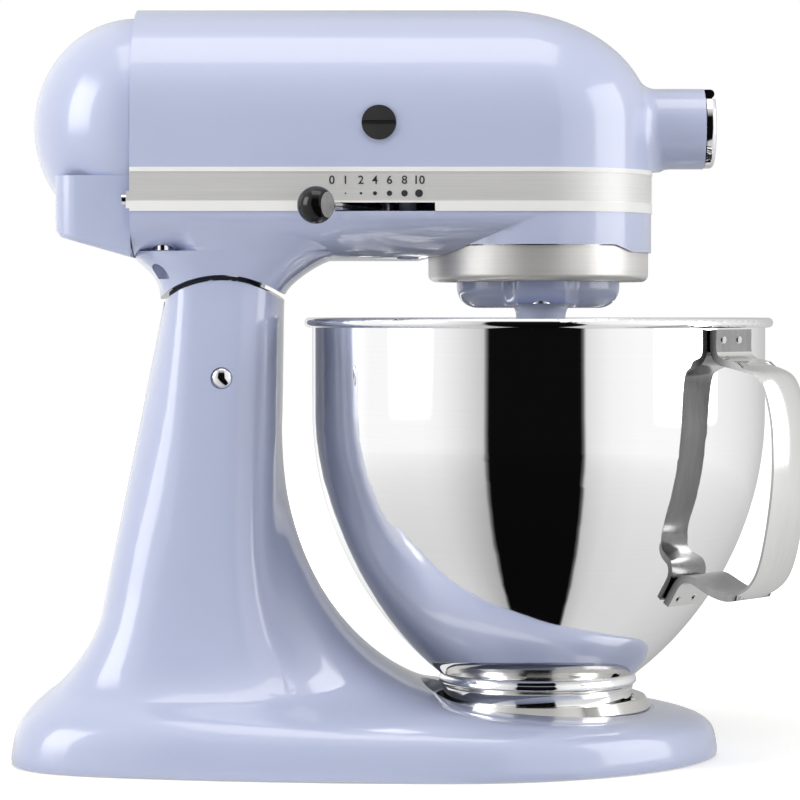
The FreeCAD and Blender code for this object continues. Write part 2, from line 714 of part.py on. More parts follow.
def arm_bar(inset, rear_x, front_x, high):
    """The arm under the head: upright sides that curve in to a narrow flat bottom."""
    half, low = s.head_half_width - inset, s.arm_bottom_z + inset
    turn_z, flat = low + 21.0, 5.0
    ellipse = Part.Ellipse(V(0, 0, 0), half - flat, 21.0)
    points = [ellipse.value(math.pi * (1.5 + i / 16.0)) for i in range(9)]
    right, left = Part.BSplineCurve(), Part.BSplineCurve()
    right.interpolate([V(rear_x, flat + p.x, turn_z + p.y) for p in points])
    left.interpolate([V(rear_x, -flat - p.x, turn_z + p.y) for p in points])
    corners = [V(rear_x, half, turn_z), V(rear_x, half, high),
               V(rear_x, -half, high), V(rear_x, -half, turn_z)]
    edges = [Part.makeLine(corners[i], corners[i + 1]) for i in range(3)]
    edges += [left.toShape(), right.toShape(), Part.makeLine(V(rear_x, -flat, low), V(rear_x, flat, low))]
    return Part.Face(Part.Wire(Part.__sortEdges__(edges))).extrude(V(front_x - rear_x, 0, 0))


def hinge_sector(inner, outer, first, last, half):
    """A block about the hinge axis between two angles from upright."""
    points = []
    for r, a in ((inner, first), (outer, first), (outer, last), (inner, last)):
        turn = math.radians(a)
        points.append(V(s.hinge_x + r * math.sin(turn), -half, s.hinge_z + r * math.cos(turn)))
    return Part.Face(Part.makePolygon(points + points[:1])).extrude(V(0, 2 * half, 0))


FLOOR_LOW, FLOOR_HIGH = 247.5, 251.5


def wheel_spot():
    """Where the worm wheel shaft stands beside the worm."""
    y = s.worm_pitch_radius + s.worm_module * s.wheel_teeth / 2
    apart = s.drive_module * (s.centre_teeth + s.drive_teeth) / 2
    return float(s.axis_x) - math.sqrt(float(apart) ** 2 - float(y) ** 2), float(y)


def build_lower_housing():
    """Painted lower shell: arm, round front over the planetary, neck and hinge lug."""
    rear, wall, high = float(s.head_rear_x), float(s.shell_wall), float(s.split_z)
    ax, half = float(s.axis_x), float(s.head_half_width)
    plan = head_block(half + 0.02, s.arm_bottom_z - 10, high + 10, rear - 10)
    form = arm_bar(0.0, rear, ax + 60, high).common(plan)
    end, under = ax - s.drip_radius - 1.0, float(s.front_bottom_z)
    # Underside that rises a little towards the front and stops short of the drip ring
    rise = ((end - 4.5, -1.0), (end - 4.5, 0.0), (end + 1.0, 1.5), (end + 19.0, 3.7),
            (ax + 80, 3.7), (ax + 80, -1.0))
    slope = [V(x, -100, s.arm_bottom_z + up) for x, up in rise]
    form = form.cut(Part.Face(Part.makePolygon(slope + slope[:1])).extrude(V(0, 200, 0)))
    form = form.cut(Part.makeCylinder(s.drip_radius + 1.0, 60, V(ax, 0, under - 60)))
    form = form.fuse(Part.makeCylinder(half + 0.02, high - s.front_bottom_z, V(ax, 0, s.front_bottom_z)))
    sections = ((31.7, 42.0, 25.4, 198.0), (31.7, 42.0, 25.4, 208.0), (32.2, 42.2, 25.4, 217.8),
                (34.1, 42.6, 25.9, 222.6), (38.9, 43.4, 27.6, 227.4), (45.6, 44.6, 31.7, 232.2),
                (54.0, 45.6, 36.5, 236.5), (62.0, 46.0, 38.6, 240.5))
    neck = Part.makeLoft([neck_wire(*one) for one in sections], True, False)
    seam_r = s.dome_radius + s.seam_gap
    neck = neck.cut(Part.makeCylinder(seam_r, 200, V(s.hinge_x, -100, s.hinge_z), V(0, 1, 0)))
    neck = neck.common(Part.makeBox(200, 200, 100, V(rear, -100, s.hinge_z + 30)))
    form = form.fuse(neck)
    wx, wy = wheel_spot()
    keep = Part.makeCylinder(9.0, FLOOR_HIGH + 2.5 - FLOOR_LOW, V(wx, wy, FLOOR_LOW))
    keep = keep.fuse(Part.makeCylinder(5.0, 17.0, V(s.lever_x, s.lever_y, s.lever_z - 2.55 - 17.0)))
    for x, y in HOUSING_SPOTS:
        keep = keep.fuse(Part.makeCylinder(6.5, 10.5, V(x, y, s.arm_bottom_z)))
        keep = keep.fuse(Part.makeCylinder(4.2, high - s.arm_bottom_z, V(x, y, s.arm_bottom_z)))
    room = arm_bar(wall, rear + wall, ax, high + 1)
    room = room.cut(Part.makeBox(100, 200, 60 + wall, V(end - wall, -100, under - 60)))
    room = room.cut(Part.makeCylinder(half, 40, V(ax, 0, FLOOR_HIGH - 40)))
    room = room.fuse(Part.makeCylinder(half - wall - 1.4, 40, V(ax, 0, FLOOR_HIGH)))
    form = form.cut(room.cut(keep))
    form = form.cut(Part.makeCylinder(47.5, 40, V(ax, 0, FLOOR_LOW - 40)))
    lug = s.lug_half_width
    web = hinge_sector(8.0, seam_r + 5.0, 8.0, 22.0, lug)
    eye = Part.makeCylinder(14.0, 2 * lug, V(s.hinge_x, -lug, s.hinge_z), V(0, 1, 0))
    shell = solid("lower_shell", form.fuse(web.fuse(eye)).cut(band_groove()).removeSplitter())
    holes = [across("lug_hole", PIN_RADIUS + s.running_gap, -60, 60, s.hinge_x, s.hinge_z),
             cylinder("centre_bush_hole", 10.0, 20, (s.axis_x, 0, FLOOR_LOW - 5)),
             cylinder("wheel_bush_hole", 7.0, 20, (wx, wy, FLOOR_LOW + 1)),
             box("lever_window", (51, 24, 5.3), (s.lever_x - 25.5, -66, s.band_low_z - 0.05)),
             cylinder("pivot_pin_hole", 1.5, 6, (s.lever_x, s.lever_y, s.lever_z - 8.55))]
    for i, (x, y) in enumerate(HOUSING_SPOTS):
        holes.append(cylinder("lower_screw_hole_%d" % i, 2.0, 60, (x, y, s.arm_bottom_z - 5)))
        holes.append(cylinder("lower_screw_well_%d" % i, 5.2, 16, (x, y, s.arm_bottom_z - 9)))
    for side in (-1, 1):
        at = (s.head_rear_x, side * 51.1, s.band_low_z + 5.2)
        holes.append(cylinder("band_screw_hole_%d" % side, 1.2, 6, at, "X"))
    node("lower_housing", cut("lower_housing", shell, holes))
    node("housing_screws", bored_group("housing_screws", HOUSING_SPOTS, lambda n, p: screw(
        n, 4.2, 2.6, 2.0, 38.0, (p[0], p[1], s.arm_bottom_z + 7.0), "Z")))
    at = (s.lever_x, s.lever_y, s.lever_z + 2.75)
    node("speed_pivot_screw", screw("speed_pivot_screw", 4.6, 1.6, 1.5, 10.8, at, "-Z"))


def ellipsoid(length, half, height):
    """A ball stretched to three half sizes about the rear of the head."""
    ball = Part.makeSphere(1.0)
    grow = FreeCAD.Matrix()
    grow.scale(length, half, height)
    made = ball.transformGeometry(grow)
    made.translate(V(s.head_rear_x - 0.3, 0, s.motor_z))
    return made


def cover_skirt(inset, low):
    """The box under the rear dome that closes the end of the arm."""
    x0, half = s.head_rear_x - 0.3, 46.5 - inset
    rear = s.cover_rear_x + 13.7 + inset
    top = s.motor_z - 24
    side = [V(x0, -half, top), V(rear, -half, top), V(rear, -half, low + 12.6 + inset),
            V(rear + 3.4, -half, low + 9.2 + inset), V(x0, -half, low + inset)]
    block = Part.Face(Part.makePolygon(side + side[:1])).extrude(V(0, 2 * half, 0))
    corners = [e for e in block.Edges if abs(e.BoundBox.XMin - rear) < 0.01 and e.BoundBox.YLength < 0.01
               and e.BoundBox.ZLength > 10 and e.BoundBox.XLength < 0.01]
    block = block.makeFillet(12.0 - inset, corners)
    under = [e for e in block.Edges if e.BoundBox.ZMax < top - 8 and e.BoundBox.XMin < x0 - 1
             and (e.BoundBox.ZLength > 1 or e.BoundBox.XMin < rear + 1)]
    return block.makeFillet(3.0, under) if inset == 0 else block


def build_rear_cover():
    """Domed end cover with a square skirt, its screw and the cord inlet."""
    low, wall = float(s.arm_bottom_z) + 1.0, 4.0
    length = float(s.head_rear_x - 0.3 - s.cover_rear_x)
    high = s.cover_radius
    form = ellipsoid(length, high - 0.6, high).fuse(cover_skirt(0.0, low))
    room = ellipsoid(length - wall, high - 0.6 - wall, high - wall).fuse(cover_skirt(wall, low))
    front = Part.makeBox(200, 300, 300, V(s.head_rear_x - 0.3, -150, 150))
    form = form.cut(front).cut(room)
    shell = solid("cover_shell", form.removeSplitter())
    inlet_x = s.cover_rear_x + 12.2
    inlet_y, inlet_z = 24.0, low + 24.6
    holes = [cylinder("cord_hole", 6.0, 12, (inlet_x, inlet_y, inlet_z), "X"),
             cylinder("cover_screw_hole", 2.0, 30, (inlet_x, 0, low + 20.5), "X")]
    node("rear_cover", cut("rear_cover", shell, holes))
    gland = fused("gland_form", [
        cylinder("gland_flange", 8.0, 1.6, (inlet_x - 0.1, inlet_y, inlet_z), "X"),
        cylinder("gland_neck", 6.0, 5.5, (inlet_x + 1.5, inlet_y, inlet_z), "X"),
        cylinder("gland_back", 7.6, 1.5, (inlet_x + 5.5, inlet_y, inlet_z), "X")])
    bore = cylinder("gland_hole", 3.6, 20, (inlet_x - 5, inlet_y, inlet_z), "X")
    node("cord_gland", cut("cord_gland", gland, [bore]))
    at = (inlet_x + 1.5, 0, low + 20.5)
    node("rear_cover_screw", screw("rear_cover_screw", 3.6, 1.8, 2.0, 8.0, at, "X"))


def build_band():
    """Aluminium trim band round the head, slotted for the speed lever and screwed at its rear ends."""
    low, high = float(s.band_low_z), float(s.band_high_z)
    half, rear = float(s.head_half_width), float(s.head_rear_x)
    form = head_block(half + 0.2, low, high, rear).cut(head_block(half + 0.2 - s.band_thick, low, high, rear))
    for under, over in ((high - s.band_edge, high), (low, low + 2.3 * s.band_edge)):
        ridge = head_block(half + 0.5, under, over, rear).cut(head_block(half, under, over, rear))
        form = form.fuse(ridge)
    form = form.cut(Part.makeBox(10, 2 * half - 6, 60, V(rear - 5, -half + 3, low - 20)))
    for side in (-1, 1):
        inner = half - 5.4
        start = inner if side > 0 else -inner - 5.6
        form = form.fuse(Part.makeBox(s.band_thick, 5.6, 8.0, V(rear - s.band_thick, start, low + 1.2)))
    shell = solid("band_form", form.removeSplitter())
    slot = box("band_slot", (46.2, 10, 3.9), (s.lever_x - 23.1, -half - 5, low))
    holes, screws = [], []
    for side in (-1, 1):
        y, z = side * 51.1, s.band_low_z + 5.2
        holes.append(cylinder("band_hole_%d" % side, 1.2, 12, (rear - 6, y, z), "X"))
        at = (s.head_rear_x - s.band_thick, y, z)
        screws.append(screw("band_screw_%d" % side, 2.9, 2.0, 1.2, 6.6, at, "X"))
    node("trim_band", cut("trim_band", shell, [slot] + holes))
    node("trim_band_screws", group("trim_band_screws", screws))


def flank(teeth, module, thin, radius):
    """Half the angle of a tooth at a radius, from the involute."""
    pitch_r = module * teeth / 2.0
    base_r = pitch_r * math.cos(math.radians(20))
    at_pitch = math.pi / (2 * teeth) - thin / (2 * pitch_r)
    lean = math.radians(20)
    turn = math.acos(min(base_r / max(radius, base_r), 1.0))
    return at_pitch + (math.tan(lean) - lean) - (math.tan(turn) - turn)


def gear_wire(teeth, module, root_r, tip_r, thin, turn, z):
    """The toothed outline of a spur gear with one tooth at an angle."""
    base_r = module * teeth / 2.0 * math.cos(math.radians(20))
    low_r = max(root_r, base_r)
    edges = []

    def spot(r, a):
        return V(r * math.cos(a), r * math.sin(a), z)

    for i in range(teeth):
        mid = turn + 2 * math.pi * i / teeth
        after = turn + 2 * math.pi * (i + 1) / teeth
        mean_r = (low_r + tip_r) / 2
        low, mean, high = (flank(teeth, module, thin, r) for r in (low_r, mean_r, tip_r))
        if low_r > root_r + 1e-6:
            edges.append(Part.makeLine(spot(root_r, mid - low), spot(low_r, mid - low)))
        up = [spot(low_r, mid - low), spot(mean_r, mid - mean), spot(tip_r, mid - high)]
        down = [spot(tip_r, mid + high), spot(mean_r, mid + mean), spot(low_r, mid + low)]
        edges.append(Part.Arc(*up).toShape())
        edges.append(Part.Arc(up[2], spot(tip_r, mid), down[0]).toShape())
        edges.append(Part.Arc(*down).toShape())
        if low_r > root_r + 1e-6:
            edges.append(Part.makeLine(spot(low_r, mid + low), spot(root_r, mid + low)))
        gap = (mid + low + after - low) / 2
        valley = [spot(root_r, mid + low), spot(root_r, gap), spot(root_r, after - low)]
        edges.append(Part.Arc(*valley).toShape())
    return Part.Wire(edges)


def spur(teeth, module, low, high, bore, turn, at):
    """A spur gear with a plain bore."""
    teeth, module = int(teeth), float(module)
    pitch_r = module * teeth / 2.0
    thin = float(s.tooth_thinning)
    rim = gear_wire(teeth, module, pitch_r - 1.25 * module, pitch_r + module, thin, turn, low)
    made = Part.Face(rim).extrude(V(0, 0, high - low))
    made = made.cut(Part.makeCylinder(bore, high - low, V(0, 0, low)))
    made.translate(V(at[0], at[1], 0))
    return made


def bevel(bore, turn):
    """A mitre gear below its apex at the origin, axis down, one tooth at an angle."""
    teeth, module = int(s.bevel_teeth), float(s.bevel_module)
    pitch_r = module * teeth / 2.0
    slant = pitch_r * math.sqrt(2.0)
    face = 0.38 * slant
    lean = math.sqrt(0.5)

    def ring(length, depth):
        return V(length * lean + depth * lean, 0, -length * lean + depth * lean)

    deep = -1.25 * module
    blank = [V(bore, 0, ring(slant - face, deep).z), ring(slant - face, deep * 0.62),
             ring(slant, deep), V(pitch_r - 2.0, 0, -pitch_r - 5.0), V(bore, 0, -pitch_r - 5.0)]
    made = Part.Face(Part.makePolygon(blank + blank[:1])).revolve(V(0, 0, 0), V(0, 0, 1), 360)
    pieces = []
    for i in range(teeth):
        wires = []
        for length, k in ((slant, 1.0), (slant - face, 1.0 - face / slant)):
            half = (math.pi * module / 4 - float(s.tooth_thinning)) * k
            corners = []
            for depth, side in ((-1.6, -1), (1.0, -1), (1.0, 1), (-1.6, 1)):
                wide = half - depth * module * k * math.tan(math.radians(20))
                point = ring(length, depth * module * k * (0.94 if depth > 0 else 1))
                corners.append(V(point.x, side * wide, point.z))
            wires.append(Part.makePolygon(corners + corners[:1]))
        tooth = Part.makeLoft(wires, True, True)
        tooth.rotate(V(0, 0, 0), V(0, 0, 1), math.degrees(turn) + 360.0 * i / teeth)
        pieces.append(tooth)
    made = made.multiFuse(pieces)
    return made.cut(Part.makeCylinder(bore, 80, V(0, 0, -60)))


def worm():
    """A cylindrical worm along X with its starts, bored for the motor shaft."""
    starts, module, pitch_r = int(s.worm_starts), float(s.worm_module), float(s.worm_pitch_radius)
    pitch = math.pi * module
    length, lead = 24.0, starts * pitch
    low_r, tip_r = pitch_r - 1.25 * module, pitch_r + module
    slope = math.tan(math.radians(20))
    half = pitch / 4 - float(s.tooth_thinning) / 2
    sunk = low_r - 0.3
    low_half = half + (pitch_r - sunk) * slope
    tip_half = half - module * slope
    made = Part.makeCylinder(low_r, length, V(0, 0, -length / 2))
    helix = Part.makeHelix(lead, length - 4, pitch_r)
    helix.translate(V(0, 0, -length / 2 + 2))
    first = -length / 2 + 2
    rim = Part.makePolygon([V(sunk, 0, first - low_half), V(tip_r, 0, first - tip_half),
                            V(tip_r, 0, first + tip_half), V(sunk, 0, first + low_half),
                            V(sunk, 0, first - low_half)])
    thread = Part.Wire(helix.Edges).makePipeShell([rim], True, True)
    # Turn the thread so that its middle crosses the plane through the wheel
    phase = -360.0 * (length / 2 - 2) / lead
    threads = []
    for i in range(starts):
        one = thread.copy()
        one.rotate(V(0, 0, 0), V(0, 0, 1), phase + 360.0 * i / starts)
        threads.append(one)
    made = made.multiFuse(threads)
    return made.cut(Part.makeCylinder(s.motor_shaft_radius, 80, V(0, 0, -40)))


def build_gear_train():
    """Worm, wheel, spur pair, mitre pair, ring gear and the bracket and bushes that carry them."""
    ax, mz, gap = float(s.axis_x), float(s.motor_z), float(s.running_gap)
    wx, wy = wheel_spot()
    made = solid("drive_worm", worm())
    made.Placement = FreeCAD.Placement(V(wx, 0, mz), FreeCAD.Rotation(
        V(0, 1, 0), V(0, 0, 1), V(1, 0, 0), "ZXY"))
    node("drive_worm", made)
    teeth, module = int(s.wheel_teeth), float(s.worm_module)
    pitch_r = module * teeth / 2.0
    lead = int(s.worm_starts) * math.pi * module
    twist = lead / (2 * math.pi * float(s.worm_pitch_radius)) / pitch_r
    wires = []
    for z in (-3.5, 0.0, 3.5):
        turn = -math.pi / 2 + math.pi / teeth + twist * z
        wires.append(gear_wire(teeth, module, pitch_r - 1.25 * module, pitch_r + module * 0.9,
                               float(s.tooth_thinning), turn, mz + z))
    wheel = Part.makeLoft(wires, True, True)
    wheel = wheel.fuse(Part.makeCylinder(8.0, 12.0, V(0, 0, mz - 12)))
    wheel = wheel.cut(Part.makeCylinder(4.0, 60, V(0, 0, mz - 30)))
    wheel.translate(V(wx, wy, 0))
    node("worm_wheel", solid("worm_wheel", wheel))
    foot = FLOOR_LOW + 1.2
    node("wheel_shaft", cylinder("wheel_shaft", 4.0, s.motor_z + 5 - foot, (wx, wy, foot)))
    toward = math.atan2(-wy, ax - wx)
    low, high = 255.0, 264.0
    small = spur(s.drive_teeth, s.drive_module, low, high, 4.0, toward, (wx, wy))
    node("drive_pinion", solid("drive_pinion", small))
    back = toward + math.pi + math.pi / int(s.centre_teeth)
    large = spur(s.centre_teeth, s.drive_module, low, high, 7.0, back, (ax, 0))
    node("centre_gear", solid("centre_gear", large))
    node("centre_shaft", cylinder("centre_shaft", 7.0, s.motor_z - 12 - 228.0, (s.axis_x, 0, 228.0)))
    made = solid("centre_bevel", bevel(7.0, 0.0))
    made.Placement = FreeCAD.Placement(V(ax, 0, mz), FreeCAD.Rotation())
    node("centre_bevel", made)
    made = solid("hub_bevel", bevel(6.0, math.pi / int(s.bevel_teeth)))
    made.Placement = FreeCAD.Placement(V(ax, 0, mz), FreeCAD.Rotation(V(0, 1, 0), -90))
    node("hub_bevel", made)
    build_bracket(wx, wy, gap)
    ring_r = float(s.planet_module) * int(s.ring_teeth) / 2
    m = float(s.planet_module)
    inside = gear_wire(int(s.ring_teeth), m, ring_r - m, ring_r + 1.25 * m, -float(s.tooth_thinning),
                       -math.pi / 2, FLOOR_LOW - 10)
    ring = Part.makeCylinder(47.4, 10.0, V(0, 0, FLOOR_LOW - 10)).cut(Part.Face(inside).extrude(V(0, 0, 10)))
    ring.translate(V(ax, 0, 0))
    node("ring_gear", solid("ring_gear", ring))


def bush(name, bore, outer, low, length, at, axis="Z"):
    """A plain bronze bush."""
    start = (at[0], at[1], low) if axis == "Z" else (low, at[0], at[1])
    sleeve = cylinder(name + "_body", outer, length, start, axis)
    return cut(name, sleeve, [cylinder(name + "_bore", bore, length, start, axis)])


def build_bracket(wx, wy, gap):
    """Plate on pillars over the spur gears, with the bushes of both upright shafts."""
    low, thick = 268.0, 5.0
    plate = Part.makeCylinder(46.0, thick, V(s.axis_x, 0, low))
    plate = plate.fuse(Part.makeCylinder(10.0, thick, V(wx, wy, low)))
    for turn in (60, -60, -150):
        x = s.axis_x + 41 * math.cos(math.radians(turn))
        y = 41 * math.sin(math.radians(turn))
        plate = plate.fuse(Part.makeCylinder(4.0, low - FLOOR_HIGH, V(x, y, FLOOR_HIGH)))
    form = solid("bracket_form", plate)
    holes = [cylinder("bracket_centre_hole", 10.0, 20, (s.axis_x, 0, low - 5)),
             cylinder("bracket_wheel_hole", 7.0, 20, (wx, wy, low - 5))]
    node("gear_bracket", cut("gear_bracket", form, holes))
    node("centre_bushes", group("centre_bushes", [
        bush("centre_bush_low", 7.0 + s.running_gap, 10.0, FLOOR_LOW - 3, 9.0, (s.axis_x, 0)),
        bush("centre_bush_high", 7.0 + s.running_gap, 10.0, low - 1, 7.0, (s.axis_x, 0))]))
    node("wheel_bushes", group("wheel_bushes", [
        bush("wheel_bush_low", 4.0 + s.running_gap, 7.0, FLOOR_LOW + 1, 5.5, (wx, wy)),
        bush("wheel_bush_high", 4.0 + s.running_gap, 7.0, low, 5.5, (wx, wy))]))


def build_motor():
    """Stator, wound rotor, commutator with brushes, fan and bearings on the motor axis."""
    mz, shaft = s.motor_z, s.motor_shaft_radius
    node("armature_shaft", cylinder("armature_shaft", shaft, 162, (-119, 0, mz), "X"))
    slots = []
    for i in range(12):
        turn = math.radians(30 * i)
        at = V(-100, 16.2 * math.cos(turn), mz + 16.2 * math.sin(turn))
        slots.append(Part.makeCylinder(1.8, 60, at, V(1, 0, 0)))
    core = Part.makeCylinder(s.rotor_radius, 46, V(-92, 0, mz), V(1, 0, 0)).cut(Part.makeCompound(slots))
    core = core.cut(Part.makeCylinder(shaft, 60, V(-100, 0, mz), V(1, 0, 0)))
    node("armature_core", solid("armature_core", core))
    bars = Part.makeCylinder(12.0, 18, V(-20, 0, mz), V(1, 0, 0))
    bars = bars.cut(Part.makeCylinder(shaft, 30, V(-25, 0, mz), V(1, 0, 0)))
    for i in range(12):
        groove = Part.makeBox(20, 1.6, 0.5, V(-21, 11.0, -0.25))
        groove.rotate(V(0, 0, 0), V(1, 0, 0), 30 * i)
        groove.translate(V(0, 0, mz))
        bars = bars.cut(groove)
    node("commutator", solid("commutator", bars))
    fan = Part.makeCylinder(10.0, 9, V(-108, 0, mz), V(1, 0, 0))
    for i in range(9):
        blade = Part.makeBox(8, 22, 1.4, V(-107.5, 8, -0.7))
        blade.rotate(V(-103.5, 19, 0), V(0, 1, 0), 28)
        blade.rotate(V(0, 0, 0), V(1, 0, 0), 40 * i)
        blade.translate(V(0, 0, mz))
        fan = fan.fuse(blade)
    fan = fan.cut(Part.makeCylinder(shaft, 30, V(-120, 0, mz), V(1, 0, 0)))
    node("cooling_fan", solid("cooling_fan", fan))
    ring = cylinder("stator_ring", s.stator_radius, 44, (-92, 0, mz), "X")
    bore = cylinder("stator_bore", s.rotor_radius + 0.6, 44, (-92, 0, mz), "X")
    node("motor_stator", cut("motor_stator", ring, [bore]))
    coils = []
    for i, x in enumerate((-97.0, -48.0)):
        coil = cylinder("coil_%d" % i, 36.0, 5, (x, 0, mz), "X")
        coils.append(cut("coil_ring_%d" % i, coil, [cylinder("coil_bore_%d" % i, 23.0, 5, (x, 0, mz), "X")]))
    node("field_coils", group("field_coils", coils))
    node("motor_bearings", group("motor_bearings", [
        bush("bearing_rear", shaft + s.running_gap, 11.0, -118.0, 8, (0, mz), "X"),
        bush("bearing_front", shaft + s.running_gap, 11.0, 2.0, 8, (0, mz), "X")]))
    holders, brushes, caps = [], [], []
    wide = s.head_half_width
    for side, axis in ((1, "Y"), (-1, "-Y")):
        tag = axis.strip("-") + ("a" if side > 0 else "b")
        tube = cylinder("holder_%s" % tag, 6.5, wide - 14.5, (s.brush_x, side * 14.0, mz), axis)
        bore = cylinder("holder_bore_%s" % tag, 5.0, wide, (s.brush_x, side * 10.0, mz), axis)
        holders.append(cut("holder_tube_%s" % tag, tube, [bore]))
        start = 12.4 if side > 0 else -30.4
        brushes.append(box("brush_%s" % tag, (6.6, 18, 6.6), (s.brush_x - 3.3, start, mz - 3.3)))
        disc = cylinder("cap_disc_%s" % tag, 8.0, 1.3, (s.brush_x, side * wide, mz), axis)
        plug = cylinder("cap_plug_%s" % tag, 5.0, 7.0, (s.brush_x, side * (wide - 6.9), mz), axis)
        at = (s.brush_x - 10, side * (wide + 0.9) - 0.6, mz - 1.0)
        slit = box("cap_slit_%s" % tag, (20, 1.2, 2.0), at)
        caps.append(cut("cap_%s" % tag, fused("cap_form_%s" % tag, [disc, plug]), [slit]))
    node("brush_holders", group("brush_holders", holders))
    node("carbon_brushes", group("carbon_brushes", brushes))
    node("brush_caps", group("brush_caps", caps))


def build_planetary():
    """Planetary with its drip ring, and the beater shaft with pinion and cross pin."""
    ax, off = s.axis_x, s.planet_offset
    low, high = s.drip_low_z, s.drip_high_z
    top = 235.5
    inner = s.drip_radius - 2.1
    round_r = 10.0
    disc_r, post_r = s.planet_disc_radius, s.planet_post_radius
    plate = turned("planet_plate", [
        (0, 0), (disc_r - round_r, 0, round_r), (disc_r, round_r), (disc_r, low + 0.6 - s.planet_low_z),
        (inner - 0.6, low + 0.6 - s.planet_low_z), (inner, low + 1.6 - s.planet_low_z),
        (inner, top - s.planet_low_z), (13.0, top - s.planet_low_z), (13.0, top + 1.2 - s.planet_low_z),
        (0, top + 1.2 - s.planet_low_z)], (ax, 0, s.planet_low_z))
    flare = 5.0
    post = turned("planet_post", [
        (0, 0), (post_r - 1.5, 0, 1.5), (post_r, 1.5), (post_r, 22.0 - flare, -flare),
        (post_r + flare, 22.0), (0, 22.0)], (ax, -off, s.planet_low_z - 20.0))
    form = fused("planet_form", [plate, post])
    holes = [cylinder("planet_shaft_hole", 7.0, 40, (ax, 0, 228.0)),
             cylinder("planet_beater_hole", s.beater_radius + s.running_gap, 80, (ax, -off, 180.0))]
    node("planetary_body", cut("planetary_body", form, holes))
    node("drip_ring", turned("drip_ring", [
        (inner, 1.6), (inner, high - low), (s.drip_radius, high - low), (s.drip_radius, 3.4, -3.4),
        (s.drip_radius - 3.4, 0), (inner - 4.0, 0), (inner - 4.0, 0.6), (inner - 0.6, 0.6)], (ax, 0, low)))
    gear_low = 238.4
    bore = float(s.beater_radius)
    pinion = spur(s.pinion_teeth, s.planet_module, gear_low, 247.0, bore, -math.pi / 2, (ax, -off))
    node("beater_pinion", solid("beater_pinion", pinion))
    foot = s.beater_low_z
    rod = cylinder("beater_rod", s.beater_radius, 228.0 - foot, (ax, -off, foot + 19.0))
    waist = cylinder("beater_waist", s.beater_radius - 0.9, 4.0, (ax, -off, foot + 15.5))
    spigot = cylinder("beater_spigot", s.beater_radius - 0.1, 16.0, (ax, -off, foot))
    collar = cylinder("beater_collar", 8.0, gear_low - top - 0.3, (ax, -off, top + 0.3))
    pin_z = foot + 22.0
    hole = cylinder("cross_hole", 2.0, 40, (ax - 20, -off, pin_z), "X")
    form = fused("beater_form", [rod, waist, spigot, collar])
    node("beater_shaft", cut("beater_shaft", form, [hole]))
    node("beater_cross_pin", cylinder("beater_cross_pin", 2.0, 22, (ax - 11, -off, pin_z), "X"))


def build_hub():
    """Attachment hub: liner, driven socket, hinged cap and the clamping knob."""
    mz, end = s.motor_z, s.hub_end_x
    node("hub_bush", bush("hub_bush", 6.0 + s.running_gap, 9.0, 86.0, 18.0, (0, mz), "X"))
    liner = cylinder("liner_form", s.hub_bore + 1.6, end - 118, (118, 0, mz), "X")
    node("hub_liner", cut("hub_liner", liner, [
        cylinder("liner_bore", s.hub_bore, 60, (110, 0, mz), "X"),
        cylinder("liner_knob_hole", 3.0 + s.running_gap, 20, (130, 8, mz), "Y")]))
    rod = cylinder("hub_rod", 6.0, 34, (s.axis_x + 7.5, 0, mz), "X")
    cup = cylinder("hub_cup", 11.5, 12, (104.5, 0, mz), "X")
    square = box("hub_square", (11, 9.6, 9.6), (106.5, -4.8, mz - 4.8))
    node("hub_drive_shaft", cut("hub_drive_shaft", fused("hub_drive_form", [rod, cup]), [square]))
    pin_x, pin_z = end + 2.75, mz + 16.4
    thick = s.hub_cap_thick
    disc = turned("cap_disc", [
        (0, 0), (s.hub_radius - 0.4, 0), (s.hub_radius - 0.4, thick - 2.2, 2.2), (s.hub_radius - 2.6, thick),
        (0, thick)], (end + 0.5, 0, mz), "X")
    crop = box("cap_crop", (20, 60, 20), (end - 5, -30, pin_z - 2.7))
    knuckle = across("cap_knuckle", 2.1, -3.8, 3.8, pin_x, pin_z)
    web = box("cap_web", (2.6, 7.6, 4.0), (pin_x - 1.3, -3.8, pin_z - 4.0))
    form = fused("cap_form", [cut("cap_cropped", disc, [crop]), knuckle, web])
    hole = across("cap_pin_hole", 1.2 + s.running_gap, -10, 10, pin_x, pin_z)
    node("hub_cap", cut("hub_cap", form, [hole]))
    lugs = []
    for i, low in enumerate((4.2, -6.8)):
        eye = across("hub_lug_%d" % i, 2.1, low, low + 2.6, pin_x, pin_z)
        arm = box("hub_lug_arm_%d" % i, (pin_x - end, 2.6, 4.2), (end, low, pin_z - 2.1))
        hole = across("hub_lug_hole_%d" % i, 1.2, -10, 10, pin_x, pin_z)
        lugs.append(cut("hub_lug_form_%d" % i, fused("hub_lug_blank_%d" % i, [eye, arm]), [hole]))
    node("hub_hinge_lugs", group("hub_hinge_lugs", lugs))
    node("hub_hinge_pin", across("hub_hinge_pin", 1.2, -6.8, 6.8, pin_x, pin_z))
    rod = cylinder("knob_rod", 3.0, 16, (130, 14.2, mz), "Y")
    node("attachment_screw", rod)
    grip = Part.makeCylinder(9.5, 11, V(130, 20.4, mz), V(0, 1, 0))
    for i in range(8):
        turn = math.radians(45 * i)
        at = V(130 + 10.6 * math.cos(turn), 18, mz + 10.6 * math.sin(turn))
        grip = grip.cut(Part.makeCylinder(2.2, 20, at, V(0, 1, 0)))
    grip = grip.cut(Part.makeCylinder(3.0, 9.8, V(130, 20.4, mz), V(0, 1, 0)))
    node("attachment_knob", solid("attachment_knob", grip))


